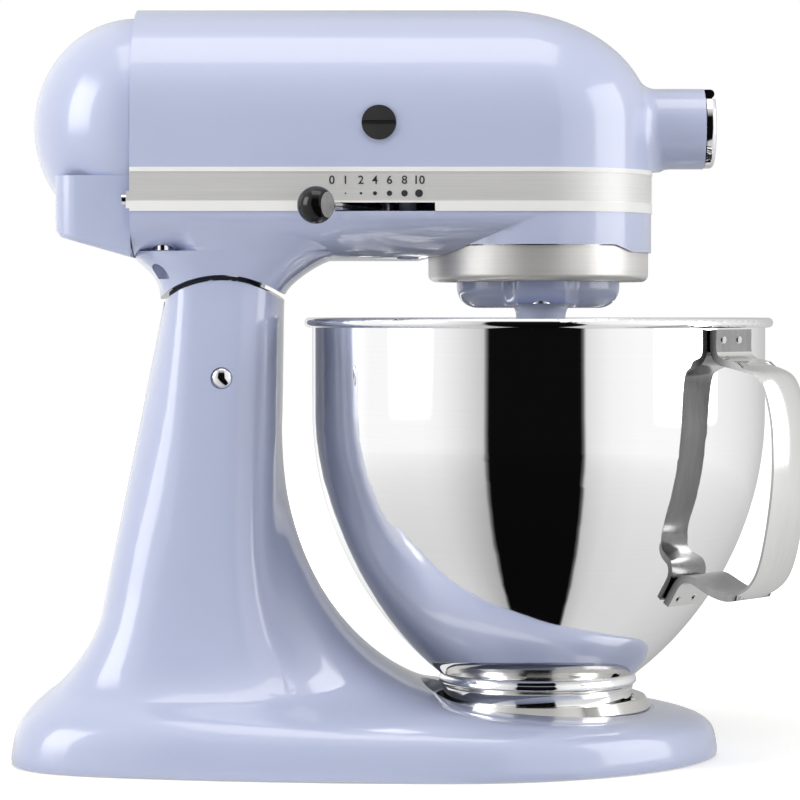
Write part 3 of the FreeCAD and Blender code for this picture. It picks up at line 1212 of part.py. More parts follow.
def build_speed_lever():
    """Swinging speed lever with a ball knob, resting at the first mark."""
    length, ball = float(s.lever_length), float(s.knob_radius)
    eye = Part.makeCylinder(6.0, 5.0, V(0, 0, -2.5))
    arm = Part.makeCylinder(1.6, length - 4.0, V(0, -3.5, 0), V(0, -1, 0))
    lever = eye.fuse(arm).cut(Part.makeCylinder(1.5 + s.running_gap, 10, V(0, 0, -5)))
    knob = Part.makeSphere(ball, V(0, -length, 0))
    knob = knob.fuse(Part.makeCone(5.6, 3.4, 7.0, V(0, -length + 5.5, 0), V(0, 1, 0)))
    knob = knob.cut(Part.makeCylinder(1.6, length - 0.5, V(0, 0, 0), V(0, -1, 0)))
    # Thumb flat on the side that faces the marks
    flat = Part.makeBox(20, 40, 40, V(0.73 * ball, -20, -20))
    flat.rotate(V(0, 0, 0), V(0, 0, 1), float(s.lever_rest) - 30.0)
    flat.translate(V(0, -length, 0))
    knob = knob.cut(flat)
    turn = FreeCAD.Rotation(V(0, 0, 1), -float(s.lever_rest))
    spin = FreeCAD.Placement(V(s.lever_x, s.lever_y, s.lever_z), turn)
    for name, shape in (("speed_lever_arm", lever), ("speed_knob", knob)):
        made = solid(name, shape)
        made.Placement = spin
        node(name, made)


build_pedestal()
build_lock()
build_clamp()
build_bowl()
build_upper_housing()
build_lower_housing()
build_rear_cover()
build_band()
build_gear_train()
build_motor()
build_planetary()
build_hub()
build_speed_lever()
doc.recompute()

for made in doc.Objects:
    if "Invalid" in made.State or "Error" in made.State:
        raise RuntimeError("object %s failed: %s" % (made.Label, made.State))
os.makedirs("parts", exist_ok=True)
for label, made in NODES.items():
    if made.Shape.isNull() or not made.Shape.isValid() or not made.Shape.Solids:
        raise RuntimeError("sub-part %s has no valid solid" % label)
    made.Shape.exportStep(os.path.join("parts", label + ".step"))
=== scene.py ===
import json
import math
import bmesh
import bpy
from mathutils import Matrix, Vector

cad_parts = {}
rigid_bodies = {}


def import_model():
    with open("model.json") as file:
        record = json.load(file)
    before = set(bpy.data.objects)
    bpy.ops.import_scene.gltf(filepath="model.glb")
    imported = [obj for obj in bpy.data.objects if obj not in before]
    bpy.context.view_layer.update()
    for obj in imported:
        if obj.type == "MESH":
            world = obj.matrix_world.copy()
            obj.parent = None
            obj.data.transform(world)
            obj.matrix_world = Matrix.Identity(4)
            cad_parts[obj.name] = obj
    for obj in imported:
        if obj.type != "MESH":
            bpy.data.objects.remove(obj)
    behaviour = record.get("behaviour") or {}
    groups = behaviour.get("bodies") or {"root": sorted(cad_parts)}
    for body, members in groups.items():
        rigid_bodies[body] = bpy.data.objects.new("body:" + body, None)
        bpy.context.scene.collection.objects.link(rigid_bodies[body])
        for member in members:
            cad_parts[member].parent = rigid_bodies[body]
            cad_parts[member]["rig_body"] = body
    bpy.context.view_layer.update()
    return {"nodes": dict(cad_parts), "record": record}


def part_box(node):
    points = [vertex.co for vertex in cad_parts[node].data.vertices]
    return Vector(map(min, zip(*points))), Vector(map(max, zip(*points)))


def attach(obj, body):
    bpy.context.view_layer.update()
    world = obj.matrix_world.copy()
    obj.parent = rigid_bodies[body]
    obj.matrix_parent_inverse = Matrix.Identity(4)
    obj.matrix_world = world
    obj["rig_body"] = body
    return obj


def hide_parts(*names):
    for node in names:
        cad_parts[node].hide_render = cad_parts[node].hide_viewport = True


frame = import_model()
nodes = frame["nodes"]
scene = bpy.context.scene
scene.view_settings.view_transform = "Standard"
MM = 0.001


# Shader nodes
def new_material(name):
    """A new material, its node tree and its shader."""
    made = bpy.data.materials.new(name)
    made.use_nodes = True
    return made, made.node_tree, made.node_tree.nodes["Principled BSDF"]


def link(tree, a, b):
    tree.links.new(a, b)


def coords(tree):
    return tree.nodes.new("ShaderNodeTexCoord").outputs["Object"]


def noise(tree, vector, scale, detail=3.0, rough=0.5):
    made = tree.nodes.new("ShaderNodeTexNoise")
    made.inputs["Scale"].default_value = scale
    made.inputs["Detail"].default_value = detail
    made.inputs["Roughness"].default_value = rough
    link(tree, vector, made.inputs["Vector"])
    return made.outputs["Fac"]


def stretched(tree, vector, scale):
    made = tree.nodes.new("ShaderNodeMapping")
    made.inputs["Scale"].default_value = scale
    link(tree, vector, made.inputs["Vector"])
    return made.outputs["Vector"]


def separate(tree, vector):
    """The X, Y and Z of a vector."""
    made = tree.nodes.new("ShaderNodeSeparateXYZ")
    link(tree, vector, made.inputs["Vector"])
    return made.outputs


def ramp(tree, fac, stops):
    made = tree.nodes.new("ShaderNodeValToRGB")
    element = made.color_ramp.elements
    while len(element) < len(stops):
        element.new(0.5)
    for one, (place, colour) in zip(element, stops):
        one.position = place
        one.color = (*colour, 1.0)
    link(tree, fac, made.inputs["Fac"])
    return made.outputs["Color"]


def remap(tree, fac, low, high, first=0.0, last=1.0):
    """Low to high while the input goes from first to last."""
    made = tree.nodes.new("ShaderNodeMapRange")
    made.inputs["From Min"].default_value = first
    made.inputs["From Max"].default_value = last
    made.inputs["To Min"].default_value = low
    made.inputs["To Max"].default_value = high
    link(tree, fac, made.inputs["Value"])
    return made.outputs["Result"]


def math_node(tree, operation, first, second):
    made = tree.nodes.new("ShaderNodeMath")
    made.operation = operation
    for socket, value in zip(made.inputs, (first, second)):
        if isinstance(value, (int, float)):
            socket.default_value = value
        else:
            link(tree, value, socket)
    return made.outputs["Value"]


BUMP_HEIGHT = 0.1 * MM


def bump(tree, height, strength):
    made = tree.nodes.new("ShaderNodeBump")
    made.inputs["Strength"].default_value = strength
    made.inputs["Distance"].default_value = BUMP_HEIGHT
    link(tree, height, made.inputs["Height"])
    return made.outputs["Normal"]


# Finishes
SHADE_STOPS = (0.3, 0.7)
# Coarse patches and fine specks, as shares of the scale of a finish
PATCH, SPECK, SPECK_DETAIL = 0.25, 6.0, 2.0
GLOSS_SPREAD = 0.1
COAT_ROUGH = 0.03
# Brushed lines, the clouds over them, and how far the lines change the gloss
LINE_DETAIL, LINE_ROUGH = 4.0, 0.6
CLOUD = 30.0
LINE_GLOSS = (0.75, 1.3)


def shades(colour, spread):
    """A darker and a lighter shade of a colour."""
    dark = tuple(c * (1 - spread) for c in colour)
    light = tuple(min(c * (1 + spread), 1.0) for c in colour)
    return list(zip(SHADE_STOPS, (dark, light)))


def plain(name, colour, rough, metal=0.0, spread=0.04, grain=180.0, depth=0.02, coat=0.0, specular=0.5):
    """A surface with slight changes of tone, gloss and level."""
    made, tree, shader = new_material(name)
    where = coords(tree)
    tone = noise(tree, where, grain * PATCH)
    fine = noise(tree, where, grain * SPECK, SPECK_DETAIL)
    gloss = remap(tree, fine, rough * (1 - GLOSS_SPREAD), rough * (1 + GLOSS_SPREAD))
    link(tree, ramp(tree, tone, shades(colour, spread)), shader.inputs["Base Color"])
    link(tree, gloss, shader.inputs["Roughness"])
    link(tree, bump(tree, fine, depth), shader.inputs["Normal"])
    shader.inputs["Metallic"].default_value = metal
    shader.inputs["Specular IOR Level"].default_value = specular
    shader.inputs["Coat Weight"].default_value = coat
    shader.inputs["Coat Roughness"].default_value = COAT_ROUGH
    return made


def brushed(name, colour, rough, along, spread=0.06, depth=0.05, metal=1.0):
    """Metal with fine lines; along is the scale of the grain in each direction."""
    made, tree, shader = new_material(name)
    where = coords(tree)
    lines = noise(tree, stretched(tree, where, along), 1.0, LINE_DETAIL, LINE_ROUGH)
    cloud = remap(tree, noise(tree, where, CLOUD), 1 - GLOSS_SPREAD, 1 + GLOSS_SPREAD)
    gloss = remap(tree, lines, *(rough * share for share in LINE_GLOSS))
    link(tree, ramp(tree, lines, shades(colour, spread)), shader.inputs["Base Color"])
    link(tree, math_node(tree, "MULTIPLY", gloss, cloud), shader.inputs["Roughness"])
    link(tree, bump(tree, lines, depth), shader.inputs["Normal"])
    shader.inputs["Metallic"].default_value = metal
    return made


PAINT = (0.545, 0.600, 0.818)
STRAP_GRAIN = (300.0, 300.0, 40.0)
paint = plain("lavender_paint", PAINT, 0.35, spread=0.006, grain=150.0, depth=0.002, coat=1.0)
# Dark painted shade for the rib in the seam between the column and the neck, where there is only shadow
painted_seam_shade = plain("painted_seam_shade", (0.022, 0.024, 0.035), 0.6, spread=0.2)
facet = plain("knob_facet", (0.22, 0.22, 0.22), 0.45, spread=0.25, grain=600.0, depth=0.3)
chrome = plain("polished_chrome", (0.86, 0.86, 0.87), 0.05, metal=1.0, spread=0.02, depth=0.004)
black = plain("black_moulding", (0.012, 0.012, 0.013), 0.25, spread=0.2, depth=0.01, coat=0.4)
knob_black = plain("glossy_black", (0.004, 0.004, 0.004), 0.06, spread=0.2, depth=0.002, specular=0.35)
cap_grey = plain("cap_moulding", (0.034, 0.034, 0.036), 0.38, spread=0.15, depth=0.02)
# Light grey painted highlight for the rounded rims of the brush caps
painted_cap_rim_highlight = plain("painted_cap_rim_highlight", (0.26, 0.26, 0.27), 0.3, spread=0.1)
# Near-black painted shade for the recessed slot of the brush caps
painted_slot_shade = plain("painted_slot_shade", (0.010, 0.010, 0.011), 0.5, spread=0.2)
rubber = plain("black_rubber", (0.02, 0.02, 0.02), 0.7, spread=0.2, depth=0.1)
bowl_steel = brushed("bowl_steel", (0.92, 0.92, 0.92), 0.035, (6.0, 6.0, 900.0), spread=0.008, depth=0.002)
strap_steel = brushed("strap_steel", (0.74, 0.74, 0.73), 0.11, STRAP_GRAIN, spread=0.02, depth=0.006)
satin = brushed("satin_ring", (0.70, 0.69, 0.67), 0.36, (10.0, 10.0, 1500.0), spread=0.05, depth=0.03, metal=0.5)
# Darker steel that paints the dark reflections of the strap's edges and the inside of its loop
painted_strap_shade = brushed("painted_strap_shade", (0.30, 0.30, 0.30), 0.22, STRAP_GRAIN, spread=0.08, depth=0.01)
clamp_steel = brushed("clamp_steel", (0.62, 0.61, 0.59), 0.16, (10.0, 10.0, 800.0), spread=0.03, depth=0.01)
steel = brushed("turned_steel", (0.62, 0.62, 0.62), 0.25, (400.0, 400.0, 400.0), spread=0.05)
bronze = plain("bronze", (0.55, 0.36, 0.15), 0.4, metal=1.0, spread=0.1)
copper = plain("copper", (0.70, 0.33, 0.16), 0.35, metal=1.0, spread=0.1)
cast = plain("cast_alloy", (0.55, 0.55, 0.55), 0.5, metal=1.0, spread=0.08, depth=0.1)
carbon = plain("carbon", (0.03, 0.03, 0.03), 0.6, spread=0.2)

# The band: where its polished edges end, as shares of its height, and its tones; the white of the edges is a
# painted highlight
BAND_LOW, BAND_HIGH, BAND_BLEND = 0.232, 0.893, 0.006
BAND_GRAIN = (14.0, 14.0, 2600.0)
BAND_GREYS = ((0.68, 0.68, 0.67), (0.76, 0.76, 0.75))
BAND_ROUGH = (0.42, 0.55)
BAND_METAL = 0.3
BAND_DEPTH = 0.03
# The polished edges: a white non-metal colour that paints their highlight
EDGE_HIGHLIGHT_WHITE, EDGE_ROUGH = (0.97, 0.97, 0.96, 1), 0.25
WHITE, DARK = (1, 1, 1), (0, 0, 0)


def band_material():
    """Brushed band whose polished edges are painted white and not metal, a painted highlight."""
    made, tree, shader = new_material("band_aluminium")
    where = coords(tree)
    lines = noise(tree, stretched(tree, where, BAND_GRAIN), 1.0, LINE_DETAIL, LINE_ROUGH)
    low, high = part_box("trim_band")
    height = remap(tree, separate(tree, where)["Z"], 0.0, 1.0, low.z, high.z)
    edge = ramp(tree, height, [
        (0.0, WHITE), (BAND_LOW, WHITE), (BAND_LOW + BAND_BLEND, DARK), (BAND_HIGH, DARK),
        (BAND_HIGH + BAND_BLEND, WHITE)])
    colour = tree.nodes.new("ShaderNodeMix")
    colour.data_type = "RGBA"
    link(tree, edge, colour.inputs["Factor"])
    link(tree, ramp(tree, lines, list(zip(SHADE_STOPS, BAND_GREYS))), colour.inputs["A"])
    colour.inputs["B"].default_value = EDGE_HIGHLIGHT_WHITE
    link(tree, colour.outputs["Result"], shader.inputs["Base Color"])
    rough = tree.nodes.new("ShaderNodeMix")
    link(tree, edge, rough.inputs["Factor"])
    link(tree, remap(tree, lines, *BAND_ROUGH), rough.inputs["A"])
    rough.inputs["B"].default_value = EDGE_ROUGH
    link(tree, rough.outputs["Result"], shader.inputs["Roughness"])
    link(tree, bump(tree, lines, BAND_DEPTH), shader.inputs["Normal"])
    link(tree, remap(tree, edge, BAND_METAL, 0.0), shader.inputs["Metallic"])
    return made


# Each node's finish comes from its slot, apart from a few with their own
SLOT_LOOKS = {
    "paint": paint, "bowl_steel": bowl_steel, "band_aluminium": band_material(), "satin_silver": satin,
    "chrome": chrome, "black_rubber": rubber, "black_plastic": black, "carbon": carbon, "steel": steel,
    "core_steel": steel, "copper": copper, "bronze": bronze, "cast_aluminium": cast,
}
SLOTS = {entry["node"]: entry["material_slot"] for entry in frame["record"]["subparts"]}
LOOKS = {name: SLOT_LOOKS[slot] for name, slot in SLOTS.items()}
LOOKS.update({
    "bowl_handle": strap_steel, "handle_rivets": strap_steel, "bowl_clamp_plate": clamp_steel,
    "speed_knob": knob_black, "brush_caps": cap_grey,
})
for name, node in nodes.items():
    node.data.materials.clear()
    node.data.materials.append(LOOKS[name])


# Smooth skins over the CAD nodes that show
WELD, TINY, CUT_SNAP = 2e-6, 1e-6, 1e-7
BEVEL_SEGMENTS = 3


def skin(name, sharp, round_mm=0.0, extra=None, wanted=None, shape=None):
    """A welded copy of a node with smooth shading, small rounded edges where asked, a second finish
    on the faces that are wanted for it, and a small change of form made by shape."""
    source = nodes[name]
    mesh = source.data.copy()
    mesh.name = name + "_skin"
    form = bmesh.new()
    form.from_mesh(mesh)
    bmesh.ops.remove_doubles(form, verts=form.verts, dist=WELD)
    bmesh.ops.dissolve_degenerate(form, dist=TINY, edges=form.edges)
    if shape:
        shape(form)
    form.to_mesh(mesh)
    form.free()
    for layer in ("custom_normal", "sharp_face", "sharp_edge"):
        if layer in mesh.attributes:
            mesh.attributes.remove(mesh.attributes[layer])
    mesh.shade_smooth()
    mesh.set_sharp_from_angle(angle=math.radians(sharp))
    made = bpy.data.objects.new(name + "_skin", mesh)
    scene.collection.objects.link(made)
    mesh.materials.clear()
    mesh.materials.append(LOOKS[name])
    if extra:
        mesh.materials.append(extra)
        for face in mesh.polygons:
            face.material_index = 1 if wanted(face.center, face.normal) else 0
    if round_mm:
        cut = made.modifiers.new("edges", "BEVEL")
        cut.width = round_mm * MM
        cut.segments = BEVEL_SEGMENTS
        cut.limit_method = "ANGLE"
        cut.angle_limit = math.radians(sharp)
        cut.harden_normals = True
    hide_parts(name)
    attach(made, source["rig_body"])
    return made


def slice_at(form, point, normal):
    """Cut every face that a plane crosses, so that the form can bend there."""
    bmesh.ops.bisect_plane(form, geom=form.verts[:] + form.edges[:] + form.faces[:], dist=CUT_SNAP,
                           plane_co=point, plane_no=normal)


def smooth(value, first, last):
    """Eased from 0 at first to 1 at last."""
    share = min(max((value - first) / (last - first), 0.0), 1.0)
    return share * share * (3 - 2 * share)


def box_centre(name):
    low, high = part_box(name)
    return (low + high) / 2


# Camera: the pixels are those of the 800 pixel frame, and LEVEL_ROW is the row at the camera's own height
CAMERA = Vector((-1.7 * MM, -1.440, 0.213))
FRAME_PIXELS, FOCAL_PIXELS, LEVEL_ROW = 800.0, 3000.0, 310.0
MIDDLE_PIXEL = FRAME_PIXELS / 2

# Marks of the speed dial: the column of each in the frame, the rows of digits and dots, the dots' radii in mm
MARK_COLUMNS = {"0": 332, "1": 345.5, "2": 361, "4": 375, "6": 389.5, "8": 404.5, "10": 419}
MARK_ROW, DOT_ROW = 180.5, 193.5
MARK_SIZE = 5.4 * MM
DOT_RADII = (0.37, 0.6, 0.95, 1.25, 1.5, 1.8)
DOT_SIDES = 32
INK_HEIGHT, INK_SPREAD = 0.04 * MM, 0.06 * MM
# The field of the band lies behind its edges, and the ink stands a little before the field
FIELD_DEPTH, INK_LIFT = 0.3 * MM, 0.1 * MM
UPRIGHT = Matrix.Rotation(math.radians(90), 4, "X")
ink = plain("mark_ink", (0.03, 0.03, 0.035), 0.5, spread=0.2)


def on_band(column, row):
    """The point on the near face of the band behind a pixel of the frame."""
    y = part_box("trim_band")[0].y + FIELD_DEPTH - INK_LIFT
    depth = y - CAMERA.y
    return Vector((CAMERA.x + (column - MIDDLE_PIXEL) * depth / FOCAL_PIXELS, y,
                   CAMERA.z - (row - LEVEL_ROW) * depth / FOCAL_PIXELS))


def ink_piece(name, data, column, row):
    """Ink on the band at a pixel of the frame."""
    data.materials.append(ink)
    made = bpy.data.objects.new(name, data)
    scene.collection.objects.link(made)
    made.matrix_world = Matrix.Translation(on_band(column, row)) @ UPRIGHT
    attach(made, "head")


def digits(text):
    """The outlines of a number of the dial."""
    curve = bpy.data.curves.new("mark_" + text, "FONT")
    curve.body = text
    curve.size = MARK_SIZE
    curve.align_x = "CENTER"
    curve.align_y = "CENTER"
    curve.extrude = INK_HEIGHT
    curve.offset = INK_SPREAD
    return curve


def dot(index, radius):
    """A flat disc of ink."""
    mesh = bpy.data.meshes.new("dot_%d" % index)
    form = bmesh.new()
    bmesh.ops.create_circle(form, cap_ends=True, radius=radius, segments=DOT_SIDES)
    raised = bmesh.ops.extrude_face_region(form, geom=form.faces[:])["geom"]
    verts = [v for v in raised if isinstance(v, bmesh.types.BMVert)]
    bmesh.ops.translate(form, verts=verts, vec=(0, 0, INK_HEIGHT))
    form.to_mesh(mesh)
    form.free()
    return mesh


for text, column in MARK_COLUMNS.items():
    ink_piece("dial_mark_" + text, digits(text), column, MARK_ROW)
for index, (column, radius) in enumerate(zip(list(MARK_COLUMNS.values())[1:], DOT_RADII)):
    ink_piece("dial_dot_%d" % index, dot(index, radius * MM), column, DOT_ROW)


# The studio as polished metal shows it: degrees to the right of the camera side, and how bright
DARK_LEFT, DARK_RIGHT = -27.8, 19.5
DARK_BLEND, DARK_LEVEL = 1.0, 0.004
WALLS = [
    (-180, 0.50), (-165, 0.9), (-150, 1.2), (-110, 1.2), (-96, 1.02), (-62, 1.02), (-52, 0.97), (-42, 0.83),
    (-31, 0.64), (DARK_LEFT - DARK_BLEND, 0.58), (DARK_LEFT, DARK_LEVEL),
    (DARK_RIGHT, DARK_LEVEL), (DARK_RIGHT + DARK_BLEND, 0.74), (23, 0.82), (33, 0.97), (48, 1.03),
    (76, 1.03), (105, 0.92), (127, 0.80), (150, 0.62), (180, 0.50)]
# Overhead the walls give way to a ceiling, between these heights of a direction
OVERHEAD, OVERHEAD_SPAN = 0.85, (0.55, 0.85)
# How much of the mirrored studio is left out in light that has already met a matt surface
CALM = 0.8


def studio(tree, across, along):
    """Brightness by direction, from how far it goes to the right and away from the camera."""
    turn = math_node(tree, "ARCTAN2", across, math_node(tree, "MULTIPLY", along, -1.0))
    place = remap(tree, turn, 0.0, 1.0, -math.pi, math.pi)
    return ramp(tree, place, [((a + 180) / 360.0, (v, v, v)) for a, v in WALLS])


def calmed(tree, path):
    met = math_node(tree, "MINIMUM", path.outputs["Diffuse Depth"], 1.0)
    return math_node(tree, "SUBTRACT", 1.0, math_node(tree, "MULTIPLY", met, CALM))


# Floor: it glows to white away from the object; in reflections it glows with a painted reflection of the studio,
# darker near the object as painted shade
FLOOR_HALF = 6
FLOOR_GREY, FLOOR_SPREAD, FLOOR_GRAIN, FLOOR_ROUGH = (0.85, 0.85, 0.85), 0.01, 3.0, 0.9
FLOOR_GLOW, FLOOR_GLOW_SPAN = 0.46, (0.45, 0.95)
REFLECTED_FLOOR_SHADE, REFLECTED_FLOOR_SHADE_SPAN = 0.70, (0.15, 0.8)
# How far before the axis of the bowl the lines of equal direction meet on the floor
FLOOR_BEFORE_BOWL = 38 * MM
BOWL_AXIS = Vector((box_centre("mixing_bowl").x, 0, 0))


def floor_material():
    """Matt pale floor that fades to white away from the object, and in reflections glows with a painted
    reflection of the studio, darkened near the object by painted shade.
    """
    made, tree, shader = new_material("pale_floor")
    where = coords(tree)
    tone = noise(tree, where, FLOOR_GRAIN)
    link(tree, ramp(tree, tone, shades(FLOOR_GREY, FLOOR_SPREAD)), shader.inputs["Base Color"])
    shader.inputs["Roughness"].default_value = FLOOR_ROUGH
    shader.inputs["Specular IOR Level"].default_value = 0.0
    path = tree.nodes.new("ShaderNodeLightPath")
    length = tree.nodes.new("ShaderNodeVectorMath")
    length.operation = "LENGTH"
    link(tree, where, length.inputs[0])
    away = length.outputs["Value"]
    white = remap(tree, away, FLOOR_GLOW, 1.0, *FLOOR_GLOW_SPAN)
    glow = tree.nodes.new("ShaderNodeEmission")
    link(tree, math_node(tree, "MULTIPLY", white, path.outputs["Is Camera Ray"]), glow.inputs["Strength"])
    both = tree.nodes.new("ShaderNodeAddShader")
    link(tree, shader.outputs["BSDF"], both.inputs[0])
    link(tree, glow.outputs["Emission"], both.inputs[1])
    place = separate(tree, where)
    across = math_node(tree, "SUBTRACT", place["X"], BOWL_AXIS.x)
    along = math_node(tree, "ADD", place["Y"], FLOOR_BEFORE_BOWL)
    # In reflections the floor glows with a painted copy of the studio, dimmed near the object as painted shade
    mirrored = tree.nodes.new("ShaderNodeEmission")
    link(tree, studio(tree, across, along), mirrored.inputs["Color"])
    dim = remap(tree, away, REFLECTED_FLOOR_SHADE, 1.0, *REFLECTED_FLOOR_SHADE_SPAN)
    link(tree, math_node(tree, "MULTIPLY", calmed(tree, path), dim), mirrored.inputs["Strength"])
    pick = tree.nodes.new("ShaderNodeMixShader")
    link(tree, path.outputs["Is Glossy Ray"], pick.inputs["Fac"])
    link(tree, both.outputs["Shader"], pick.inputs[1])
    link(tree, mirrored.outputs["Emission"], pick.inputs[2])
    link(tree, pick.outputs["Shader"], tree.nodes["Material Output"].inputs["Surface"])
    return made


def add_floor():
    mesh = bpy.data.meshes.new("floor")
    corners = [(x * FLOOR_HALF, y * FLOOR_HALF, 0) for x, y in ((-1, -1), (1, -1), (1, 1), (-1, 1))]
    mesh.from_pydata(corners, [], [(0, 1, 2, 3)])
    mesh.materials.append(floor_material())
    made = bpy.data.objects.new("floor", mesh)
    scene.collection.objects.link(made)


add_floor()


# Lamps
def faded(tree, place, edge):
    """Rises from both ends of a box towards its middle."""
    ends = []
    for first, last, low, high in ((0.0, edge, 0.0, 1.0), (1.0 - edge, 1.0, 1.0, 0.0)):
        end = remap(tree, place, low, high, first, last)
        end.node.interpolation_type = "SMOOTHSTEP"
        ends.append(end)
    return math_node(tree, "MULTIPLY", *ends)


def soft_box(name, place, toward, size, radiance, soft=(0.1, 0.1), colour=(1, 1, 1), glossy=True):
    """A rectangular lamp whose light fades at its edges; glossy says whether metal mirrors it."""
    lamp = bpy.data.lights.new(name, "AREA")
    lamp.shape = "RECTANGLE"
    lamp.size, lamp.size_y = size
    lamp.energy = radiance * math.pi * size[0] * size[1]
    lamp.color = colour
    lamp.use_nodes = True
    tree = lamp.node_tree
    place_on = separate(tree, tree.nodes.new("ShaderNodeNewGeometry").outputs["Parametric"])
    fade = math_node(tree, "MULTIPLY", faded(tree, place_on["X"], soft[0]), faded(tree, place_on["Y"], soft[1]))
    link(tree, fade, tree.nodes["Emission"].inputs["Strength"])
    made = bpy.data.objects.new(name, lamp)
    scene.collection.objects.link(made)
    made.location = place
    made.rotation_mode = "QUATERNION"
    made.rotation_quaternion = (Vector(toward) - Vector(place)).to_track_quat("-Z", "Y")
    made.visible_camera = False
    made.visible_glossy = glossy


def around(degrees, distance, height):
    """A place round the object, in degrees to the right of the camera side."""
    turn = math.radians(degrees)
    return (distance * math.sin(turn), -distance * math.cos(turn), height)


AIM = (0.0, 0.0, 0.2)
WARM = (1.0, 0.955, 0.885)
soft_box("top_box", (0.0, -0.32, 1.45), (0.0, -0.32, 0.0), (1.0, 0.80), 2.3, (0.08, 0.12), WARM)
soft_box("left_box", around(-67, 1.65, 0.85), (0.0, 0.0, 0.4), (0.95, 1.7), 4.7, (0.14, 0.3))
soft_box("right_box", around(76, 1.6, 0.65), AIM, (1.3, 1.3), 2.9, (0.14, 0.06))
soft_box("fill_box", (0.0, -0.85, 1.65), AIM, (1.2, 0.8), 2.1, glossy=False)
soft_box("low_box", (0.05, -0.60, 0.215), (0.05, 0.0, 0.225), (0.5, 0.10), 2.0, glossy=False)
soft_box("back_box", around(180, 1.7, 1.0), AIM, (1.3, 1.0), 2.4, glossy=False)

# Light from all sides for matt surfaces, stronger from the camera side
AMBIENT_BACK, AMBIENT_FRONT = 0.12, 0.20


def add_world():
    """White to the camera, the studio in reflections, and a low even light for matt surfaces."""
    world = bpy.data.worlds.new("studio")
    scene.world = world
    world.use_nodes = True
    tree = world.node_tree
    toward = separate(tree, tree.nodes.new("ShaderNodeTexCoord").outputs["Generated"])
    path = tree.nodes.new("ShaderNodeLightPath")
    glossy = path.outputs["Is Glossy Ray"]
    ceiling = remap(tree, toward["Z"], 0.0, OVERHEAD, *OVERHEAD_SPAN)
    wall = math_node(tree, "MAXIMUM", studio(tree, toward["X"], toward["Y"]), ceiling)
    wall = math_node(tree, "MULTIPLY", wall, calmed(tree, path))
    straight = math_node(tree, "MAXIMUM", path.outputs["Is Camera Ray"], path.outputs["Is Transmission Ray"])
    bright = math_node(tree, "MAXIMUM", straight, math_node(tree, "MULTIPLY", glossy, wall))
    matt = math_node(tree, "SUBTRACT", 1.0, math_node(tree, "MAXIMUM", straight, glossy))
    ambient = remap(tree, toward["Y"], AMBIENT_FRONT, AMBIENT_BACK, -1.0, 1.0)
    even = math_node(tree, "MULTIPLY", matt, ambient)
    ground = tree.nodes["Background"]
    ground.inputs["Color"].default_value = (1, 1, 1, 1)
    link(tree, math_node(tree, "ADD", bright, even), ground.inputs["Strength"])


SENSOR_MM, FAR_CLIP = 36.0, 50.0


def add_camera():
    lens = bpy.data.cameras.new("camera")
    lens.sensor_width = SENSOR_MM
    lens.lens = FOCAL_PIXELS / FRAME_PIXELS * SENSOR_MM
    lens.clip_end = FAR_CLIP
    camera = bpy.data.objects.new("camera", lens)
    scene.collection.objects.link(camera)
    camera.location = CAMERA
    down = math.atan((MIDDLE_PIXEL - LEVEL_ROW) / FOCAL_PIXELS)
    camera.rotation_euler = (math.radians(90) - down, 0, 0)
    scene.camera = camera


add_world()
add_camera()

# Plain skins: the angle that stays sharp, and the rounding of the edges in mm
FINE, SOFT = 30, 40
PLAIN_SKINS = {
    "upper_housing": (SOFT, 0), "rear_cover": (SOFT, 0), "mixing_bowl": (SOFT, 0), "bowl_foot": (SOFT, 0),
    "bowl_clamp_plate": (FINE, 0), "drip_ring": (SOFT, 0), "trim_band": (FINE, 0), "hub_cap": (SOFT, 0),
    "hinge_pin": (SOFT, 0), "attachment_knob": (SOFT, 0.4), "lock_lever": (FINE, 0.6),
    "speed_lever_arm": (SOFT, 0), "base_feet": (FINE, 0.4), "housing_screws": (FINE, 0.2),
    "trim_band_screws": (FINE, 0.2),
}
for name, (sharp, round_mm) in PLAIN_SKINS.items():
    skin(name, sharp, round_mm)

# The column: the rib in the seam between it and the neck gets painted shade, a dark finish standing in for the
# shadow in the seam
HINGE = box_centre("hinge_pin")
SEAM_RADIUS, SEAM_LOW = 45.7 * MM, 205 * MM


def in_seam(centre, normal):
    """Faces of the rib between the column and the neck, which take the painted seam shade."""
    out = Vector((centre.x - HINGE.x, 0, centre.z - HINGE.z))
    return centre.z > SEAM_LOW and out.length > SEAM_RADIUS


skin("base_pedestal", SOFT, extra=painted_seam_shade, wanted=in_seam)

# The neck: its sides flare up into the sides of the arm. All in mm
COLUMN_X, NECK_POWER = -90.0, 3.6
NECK_REAR, NECK_FULL, NECK_FRONT = -106.0, -97.0, -14.0
# Height, and reach to the front, side and rear
NECK = [(236.5, 54.0, 45.6, 36.5), (241.0, 61.0, 46.9, 38.6), (246.0, 67.0, 48.8, 40.0),
        (251.5, 72.0, 51.4, 41.0), (257.0, 75.0, 53.8, 42.0)]
NECK_CUTS_X, NECK_CUTS_Z = range(-106, -10, 5), range(237, 258, 2)
# The round side of the arm: a flat, then an ellipse up to its widest height
ARM_FLAT, ARM_ROUND, ARM_WIDE_Z, ARM_SLACK = 5.0, (49.0, 21.0), 257.5, 0.4


def neck_side(x, z):
    """Half width of the flare at a place along the head and a height."""
    for low, high in zip(NECK, NECK[1:]):
        if low[0] <= z <= high[0]:
            share = (z - low[0]) / (high[0] - low[0])
            front, side, rear = (a + (b - a) * share for a, b in zip(low[1:], high[1:]))
            out = min(abs(x - COLUMN_X) / (front if x > COLUMN_X else rear), 1.0)
            return side * (1 - out ** NECK_POWER) ** (1 / NECK_POWER)
    return 0.0


